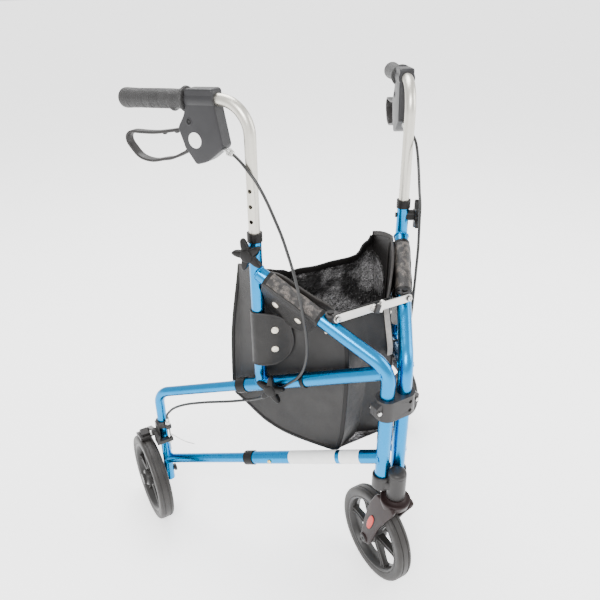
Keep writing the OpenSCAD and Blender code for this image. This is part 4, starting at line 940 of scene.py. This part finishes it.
def even(points, n):
    """n + 1 points evenly spaced along the curve through points."""
    p = spline(points, 10)
    d = run_of(p)
    return np.stack([np.interp(np.linspace(0, d[-1], n + 1), d, p[:, k]) for k in range(p.shape[1])], 1)


def ripple(x, y, seed, scale=1.0):
    return noise.noise(Vector((x * scale, y * scale, seed)))


RIM = 2


def sheet_of(p, thick):
    """Closed cloth from a grid of points: one side, the other side and rim, with a material number for each."""
    nu, nv = p.shape[:2]
    n = np.cross(np.gradient(p, axis=0), np.gradient(p, axis=1))
    n /= np.linalg.norm(n, axis=2)[:, :, None] + 1e-12
    v = [tuple(q) for half in (thick / 2, -thick / 2) for q in (p + n * half).reshape(-1, 3)]
    off = nu * nv
    f, m = [], []
    for i in range(nu - 1):
        for j in range(nv - 1):
            a, b, c, d = i * nv + j, (i + 1) * nv + j, (i + 1) * nv + j + 1, i * nv + j + 1
            f += [(a, b, c, d), (off + d, off + c, off + b, off + a)]
            m += [0, 1]
    rim_line = [i * nv for i in range(nu)] + [(nu - 1) * nv + j for j in range(1, nv)] \
        + [i * nv + nv - 1 for i in range(nu - 2, -1, -1)] + [j for j in range(nv - 2, 0, -1)]
    for a, b in zip(rim_line, rim_line[1:] + rim_line[:1]):
        f.append((b, a, off + a, off + b))
        m.append(RIM)
    return v, f, m


def lean(z):
    """How far the front corner leans inward towards its top."""
    return 11.7 * min(1.0, max(0.0, (z - 490) / 80))


def lean_front(u, z):
    """How far a point of the side panel leans inward, u of the way from the front corner to the rear."""
    return lean(z) * max(0.0, 1 - 2.2 * u) ** 1.5


def lean_back(s, z):
    """How far the rear corner leans inward, more towards its top."""
    return float(np.interp(z, [340, 420, 617], [10, 18, 32.7])) * min(1.0, max(0.0, (s - 245) / 62)) ** 1.15


def grid_of(nu, nv, point):
    """Grid of the points point(i, j), with i up to nu and j up to nv."""
    return np.array([[point(i, j) for j in range(nv + 1)] for i in range(nu + 1)], float)


def side_grid(nu=54, nv=60):
    front, rear = even(EDGE_FRONT, nv), even(EDGE_REAR, nv)
    bottom, top = even(EDGE_BOTTOM, nu), even(EDGE_TOP, nu)

    def point(i, j):
        u, v = i / nu, j / nv
        s, z = (1 - v) * bottom[i] + v * top[i] + (1 - u) * front[j] + u * rear[j] \
            - ((1 - u) * (1 - v) * bottom[0] + u * (1 - v) * bottom[-1] + (1 - u) * v * top[0]
               + u * v * top[-1])
        free = (math.sin(math.pi * u) * math.sin(math.pi * v)) ** 0.5
        dent = 3.0 * free + free * (1.7 * ripple(s, z, 3.1, 0.018) + 0.7 * ripple(s, z, 7.7, 0.05))
        fold = 1.6 * free * math.exp(-((z - 455 + 0.25 * (s - 150)) / 14) ** 2)
        drop = lean_front(u, z) + lean_back(s, z)
        return BAG_T - dent + fold - drop, s, z
    return grid_of(nu, nv, point)


def in_centre(s, z, t):
    """A point of the left frame's panel in the centre's axes."""
    return E + s * math.sin(SPREAD) + t * math.cos(SPREAD), s * math.cos(SPREAD) - t * math.sin(SPREAD), z


def rear_top(u):
    """Height of the rear panel's top edge above its ends, for u from -1 to 1 with the left end at 1."""
    return float(np.interp(u, [-1, -0.93, -0.8, -0.62, -0.42, -0.33, 0.72, 0.8, 0.87, 0.96, 1],
                           [-4, -13, -17, -23, -33, -41, -40, -34, -21, -15, -4]))


def rear_grid(nu=72, nv=48):
    edge = even(EDGE_REAR, nv)

    def point(i, j):
        u, v = 2 * i / nu - 1, j / nv
        x, y, z = in_centre(edge[j][0] - 1.5, edge[j][1], BAG_T - lean_back(*edge[j]))
        free = 1 - abs(u) ** 3
        z = z + rear_top(u) * v ** 2 - 9 * (1 - u * u) * (1 - v)
        bow = 7 * free * math.sin(math.pi * min(1, v * 0.8 + 0.1)) - 6 * free * v ** 3
        pleat = free * v * (3.2 * math.sin(5.2 * u + 2.4 * v) + 2.2 * math.sin(11 * u - 3 * v + 0.8))
        crease = free * (1.6 * ripple(x * u, z, 12.3, 0.03) + 0.8 * ripple(x * u, z, 4.4, 0.08))
        return u * (x - 1.6), y + bow + pleat + crease, z
    return grid_of(nu, nv, point)


def bottom_grid(nu=48, nv=44):
    edge = even(EDGE_BOTTOM, nv)

    def point(i, j):
        u, v = 2 * i / nu - 1, j / nv
        x, y, z = in_centre(edge[j][0], edge[j][1] + 1.6, BAG_T - lean_back(*edge[j]))
        sag = (1 - u * u) * (7 * math.sin(math.pi * v) + 9 * v ** 4)
        return -u * (x - 1.2), y, z - sag + (1 - u * u) * 1.2 * ripple(x * u, y, 2.2, 0.03)
    return grid_of(nu, nv, point)


def front_grid(nu=40, nv=48):
    edge = even(EDGE_FRONT, nv)

    def point(i, j):
        u, v = 2 * i / nu - 1, j / nv
        x, y, z = in_centre(edge[j][0] + 1.0, edge[j][1], BAG_T - lean(edge[j][1]))
        fold = 21 * (1 - abs(u)) * (1 - v)
        crease = (1 - u * u) * (1 - v ** 4) * (1.5 * ripple(x * u, z, 5.5, 0.04)
                                               + 0.9 * ripple(x * u, z, 8.1, 0.1))
        return -u * (x - 1.4), y + fold + crease, z
    return grid_of(nu, nv, point)


def area_of(p):
    """Area of a grid, in square metres."""
    a = np.cross(p[1:, :-1] - p[:-1, :-1], p[:-1, 1:] - p[:-1, :-1])
    b = np.cross(p[1:, 1:] - p[1:, :-1], p[:-1, 1:] - p[1:, :-1])
    return float((np.linalg.norm(a, axis=2).sum() + np.linalg.norm(b, axis=2).sum()) / 2) * MM ** 2


def declare(o, grid, with_pieces=()):
    """Measures a sheet's flat size and area on its grid."""
    area = area_of(grid)
    w = max(float(run_of(grid[:, k])[-1]) for k in (0, grid.shape[1] // 2, -1)) * MM
    h = max(float(run_of(grid[k, :])[-1]) for k in (0, grid.shape[0] // 2, -1)) * MM
    h = max(h, area / w)
    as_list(with_pieces)


def cloth(name, shapes, matrix, mat, body, replaces=(), sharp=60):
    """A piece of the bag."""
    return piece(name, shapes, matrix, mat, body, replaces, sharp)


# Materials of a sheet's first face, second face and rim
LINED_OUT, LINED_IN = [vinyl, lining, dark_vinyl], [lining, vinyl, dark_vinyl]
LOOP_MATS = [tab_vinyl, tab_vinyl, dark_vinyl]
LINING_TOP = 577.0
CLOTH_T = 2.2


def edge_band(line, w, t, inward, shift):
    """Flat binding folded over an edge in the (s, z) plane of a side panel, moved out by shift."""
    p = np.array([(BAG_T + d, s, z) for (s, z), d in zip(line, shift)])
    rings = []
    for q, d in zip(p, tangents(p)):
        u = unit(np.cross((1, 0, 0), d) * inward)
        rings.append([q + (a + w / 2 - 1.4) * u + np.array((b, 0, 0)) for a, b in band(w, t)])
    return sections(rings)


def back(line, more=0.0):
    """Shifts of an edge that leans inward with the rear corner."""
    return [-lean_back(s, z) - more for s, z in line]


def sleeve_rings(base_r, a0, a1, hem, seed):
    """Rings of a sleeve round a tube's axis along Z from a0 to a1."""
    rings, mats = [], []
    for z in np.concatenate([[a0, a0 + 0.01], np.linspace(a0 + 0.8, a1 - 0.8, 40), [a1 - 0.01, a1]]):
        end = min(z - a0, a1 - z)
        hemmed = 0.9 if end < hem else 0.0
        ring = []
        for th in around(56):
            r = base_r + hemmed + 0.5 * ripple(th * 2.2 * math.cos(th), z * 0.09, seed)
            r += 0.35 * math.sin(3 * th + z * 0.12)
            if end <= 0:
                r = base_r - 1.4
            ring.append((r * math.cos(th), r * math.sin(th), z))
        rings.append(ring)
        mats.append(1 if hemmed else 0)
    v, f = sections(rings)
    m = []
    for i in range(len(rings) - 1):
        m += [1 if mats[i] and mats[i + 1] else 0] * 56
    return v, f, m + [1, 1]


# The diagonal's flap passes the upright with this distance from its axis
UP_ROOM = UP_R + 2.1


def diag_tab_grid(nu=44, nv=26):
    """Flap of the diagonal's sleeve: from the tube's outer side down to the panel, inside the upright."""
    def point(i, j):
        a = 140 + i / nu * 109
        low = float(np.interp(a, [140, 142, 146, 152, 160, 171, 184, 196, 208, 219, 229, 237, 243, 247, 249],
                              [16, 28, 37, 46, 53, 59, 63, 64, 64, 62.5, 58, 51, 42, 32, 20]))
        n = 1 + (low - 1) * j / nv
        t = float(np.interp(n, [1, 6, 14, 30, 64], [14.6, 14.2, 11, 2.5, -14.0]))
        t += 0.8 * ripple(a, n, 6.0, 0.05)
        s, z = a * DIAG_C + n * DIAG_S, DIAG_Z + a * DIAG_S - n * DIAG_C
        reach = UP_ROOM ** 2 - (s - UP_S) ** 2
        return min(t, -math.sqrt(reach)) if reach > 0 and t < UP_ROOM / 2 else t, s, z
    return grid_of(nu, nv, point)


def upright_tab_grid(nu=44, nv=34):
    """Flap of the upright's sleeve: round its outer side, then forward and in to the panel."""
    path = [(12.9 * math.cos(b), UP_S + 12.9 * math.sin(b)) for b in np.radians(np.linspace(150, -25, 22))]
    path += [(9.4, 228), (4.5, 217), (-2.5, 207), (-9, 197), (-13.5, 188), (-15, 181)]
    line = even(path, nu)
    d = run_of(line)

    def point(i, j):
        m = d[-1] - d[i]
        low = float(np.interp(m, [0, 1, 4, 10, 20, 32, 50], [500, 494, 485, 475, 465, 459, 457]))
        high = float(np.interp(m, [0, 1, 4, 10, 20, 32, 50], [514, 522, 533, 544, 553, 559, 562]))
        z = low + (high - low) * j / nv
        out = 2.88 * math.exp(-((z - 505) / 22) ** 2) * math.exp(-((m - 26) / 14) ** 2)
        return line[i][0] + out + 0.6 * ripple(m, z, 9.0, 0.06), line[i][1], z
    return grid_of(nu, nv, point)


def border(p):
    """Points round the rim of a grid."""
    return np.concatenate([p[:, 0], p[-1, 1:], p[-2::-1, -1], p[0, -2:0:-1]])


def nearest(grid, s, z):
    """Numbers of the grid point inside the rim that lies nearest to (s, z)."""
    k = int(np.argmin((grid[1:-1, 1:-1, 1] - s) ** 2 + (grid[1:-1, 1:-1, 2] - z) ** 2))
    return 1 + k // (grid.shape[1] - 2), 1 + k % (grid.shape[1] - 2)


def snap_on(grid, s, z, r, lift):
    """Press stud of radius r on a cloth's outer side, nearest to (s, z)."""
    i, j = nearest(grid, s, z)
    n = unit(np.cross(grid[i + 1, j] - grid[i - 1, j], grid[i, j + 1] - grid[i, j - 1]))
    n = n if n[0] >= 0 else -n
    m = Vector(n).to_track_quat("Z", "Y").to_matrix().to_4x4()
    m.translation = Vector(grid[i, j] + n * lift)
    profile = [(0, -1.2), (r, -1.2), (r, 0.2), (r * 0.94, 0.8), (r * 0.72, 1.25), (r * 0.62, 1.15),
               (r * 0.5, 1.6), (r * 0.25, 2.0), (0, 2.1)]
    return moved(lathe(profile, 36), m)


SIDE_GRID = side_grid()
LINED = [(318, 400), (290, 425), (272, 455), (261, 480), (257, 505), (260, 535), (270, 556), (286, 569),
         (309, LINING_TOP)]
side_sheet = sheet_of(SIDE_GRID, CLOTH_T)
for k in range((SIDE_GRID.shape[0] - 1) * (SIDE_GRID.shape[1] - 1)):
    i, j = divmod(k, SIDE_GRID.shape[1] - 1)
    s, z = SIDE_GRID[i:i + 2, j:j + 2, 1:].mean(axis=(0, 1))
    if z > LINING_TOP or s < np.interp(z, [q[1] for q in LINED], [q[0] for q in LINED]):
        side_sheet[2][2 * k + 1] = RIM


def on_side(s, z, more):
    """Point of the side panel's inner face nearest to (s, z)."""
    return SIDE_GRID[nearest(SIDE_GRID, s, z)] - np.array((more, 0, 0))


front_line, rear_line = even(EDGE_FRONT, 60), even(EDGE_REAR, 60)
bottom_line, top_line = even(EDGE_BOTTOM, 70), even(EDGE_TOP, 70)
BANDS = [edge_band(rear_line, 6.5, 4.6, 1, back(rear_line)),
         edge_band(bottom_line, 6.0, 4.6, 1, back(bottom_line)),
         edge_band(front_line, 8.0, 4.4, -1, [-lean(z) for s, z in front_line])]
top_shift = [-lean_front(k / 70, z) - lean_back(s, z) for k, (s, z) in enumerate(top_line)]
hem_line = even([(243, 626), (246, 600), (247.5, 560), (249, 520), (253, 480), (256, 452)], 40)
HEMS = [edge_band(top_line, 9.0, 4.6, -1, top_shift), edge_band(hem_line, 12, 1.4, -1, back(hem_line, 5.2))]
LINED_SEAM = round_tube([on_side(s, z, 1.6) for s, z in even(LINED, 60)], 1.5, 8)
DIAG_TAB, UP_TAB = diag_tab_grid(), upright_tab_grid()
SNAPS = ((DIAG_TAB, 205, 582), (DIAG_TAB, 163, 561), (UP_TAB, 210, 531), (UP_TAB, 210, 490))
for side in SIDES:
    body, m = side + "_frame", side_frame(side)
    panel = cloth(side + "_bag_panel", [side_sheet], m, LINED_OUT, body, [side + "_bag_side"])
    trim = cloth(side + "_bag_piping", BANDS, m, piping, body)
    hem = cloth(side + "_bag_hem", HEMS, m, hem_brown, body)
    seam = cloth(side + "_lining_seam", [LINED_SEAM], m, dark_vinyl, body, sharp=80)
    cuff = cloth(side + "_diag_sleeve", [sleeve_rings(14.5, 122 / DIAG_C, 222 / DIAG_C, 8.5, 1.5)],
                 along_diag(side, 0), [sleeve_vinyl, piping], body, sharp=70)
    declare(panel, SIDE_GRID,
            [trim, cuff, hem, seam])
    for name, grid, tube in (("diag_tab", DIAG_TAB, "main_tube"), ("upright_tab", UP_TAB, "rear_upright")):
        tab = cloth(f"{side}_{name}", [sheet_of(grid, 1.8)], m, LOOP_MATS, body)
        edge = cloth(f"{side}_{name}_edge", [round_tube(border(grid)[::2], 1.7, 8, closed=True)], m,
                     dark_vinyl, body, sharp=80)
        declare(tab, grid, [edge])
    caps = [snap_on(grid, s, z, 6.5, 1.0) for grid, s, z in SNAPS]
    piece(side + "_snaps", caps, m, snap_metal, body, sharp=50)
    stud = piece(side + "_panel_snap", [snap_on(SIDE_GRID, 121, 533, 3.0, 1.1)], m, snap_metal, body, sharp=50)
    for o in (panel, trim, hem, seam, stud):
        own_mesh(o)

# The bag's rear, bottom and front panels, on the head
REAR, FLOOR, FRONT = rear_grid(), bottom_grid(), front_grid()
floor_panel = cloth("bag_floor_panel", [sheet_of(FLOOR, CLOTH_T)], CENTRE, LINED_OUT, "head")
front_panel = cloth("bag_front_panel", [sheet_of(FRONT, 2.0)], CENTRE, LINED_IN, "head")


def cap_band(line, drop, t):
    """Binding over a panel's top edge."""
    return along(line - np.array((0, 0, drop / 2 - 1.5)), band(drop, t))


rear_sheet = sheet_of(REAR, CLOTH_T)
rise = REAR.shape[1] - 1
for k in range((REAR.shape[0] - 1) * rise):
    i, j = divmod(k, rise)
    if REAR[i:i + 2, j:j + 2, 2].mean() > LINING_TOP:
        rear_sheet[2][2 * k] = RIM
rear_panel = cloth("bag_rear_panel", [rear_sheet], CENTRE, LINED_IN, "head", ["bag_body"])
bindings = cloth("bag_bindings", [cap_band(REAR[:, -1], 12, 4.6), cap_band(FRONT[:, -1], 11, 4.4)], CENTRE,
                 piping, "head")
# Lighter band on the left front edge: painted sheen, the lit part of the dark brown binding drawn as its own
# strip
sheen_line = [p + np.array((-5.0, -2.2, 0)) for p in FRONT[0] if 470 < p[2] < 566]
sheen_band = cloth("bag_binding_painted_sheen", [along(sheen_line, band(11, 1.2, 0.4), up=(1, 0, 0))], CENTRE, binding_sheen, "head",
             sharp=50)
for o in (rear_panel, floor_panel, front_panel, bindings, sheen_band):
    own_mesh(o)
for panel, grid, more in ((rear_panel, REAR, [bindings]), (floor_panel, FLOOR, ()),
                          (front_panel, FRONT, [sheen_band])):
    declare(panel, grid, more)

# Studio
floor_me = bpy.data.meshes.new("floor")
floor_me.from_pydata([(-30, -30, 0), (30, -30, 0), (30, 30, 0), (-30, 30, 0)], [], [(0, 1, 2, 3)])
floor = bpy.data.objects.new("floor", floor_me)
bpy.context.scene.collection.objects.link(floor)
floor_mat = surface("studio_floor", (0.94, 0.94, 0.94), (0.955, 0.955, 0.955), 0.8, scale=3)
glow = floor_mat.node_tree.nodes["Principled BSDF"].inputs
glow["Emission Color"].default_value, glow["Emission Strength"].default_value = (1, 1, 1, 1), 1.2
floor_me.materials.append(floor_mat)
world = bpy.data.worlds.new("studio")
bpy.context.scene.world = world
world.use_nodes = True
sky = world.node_tree.nodes["Background"].inputs
sky["Color"].default_value, sky["Strength"].default_value = (1, 1, 1, 1), 1.5


def area_light(name, place, aim, size, power):
    d = bpy.data.lights.new(name, "AREA")
    d.size, d.energy = size, power
    o = bpy.data.objects.new(name, d)
    o.location = place
    o.rotation_mode = "QUATERNION"
    o.rotation_quaternion = (Vector(aim) - Vector(place)).to_track_quat("-Z", "Y")
    bpy.context.scene.collection.objects.link(o)


area_light("key", (-1.6, -1.9, 2.6), (0, 0, 0.45), 1.3, 105)
area_light("fill", (2.2, -1.2, 1.6), (0, 0, 0.45), 1.6, 45)
area_light("top", (0.2, 1.2, 2.8), (0, 0, 0.5), 1.6, 80)
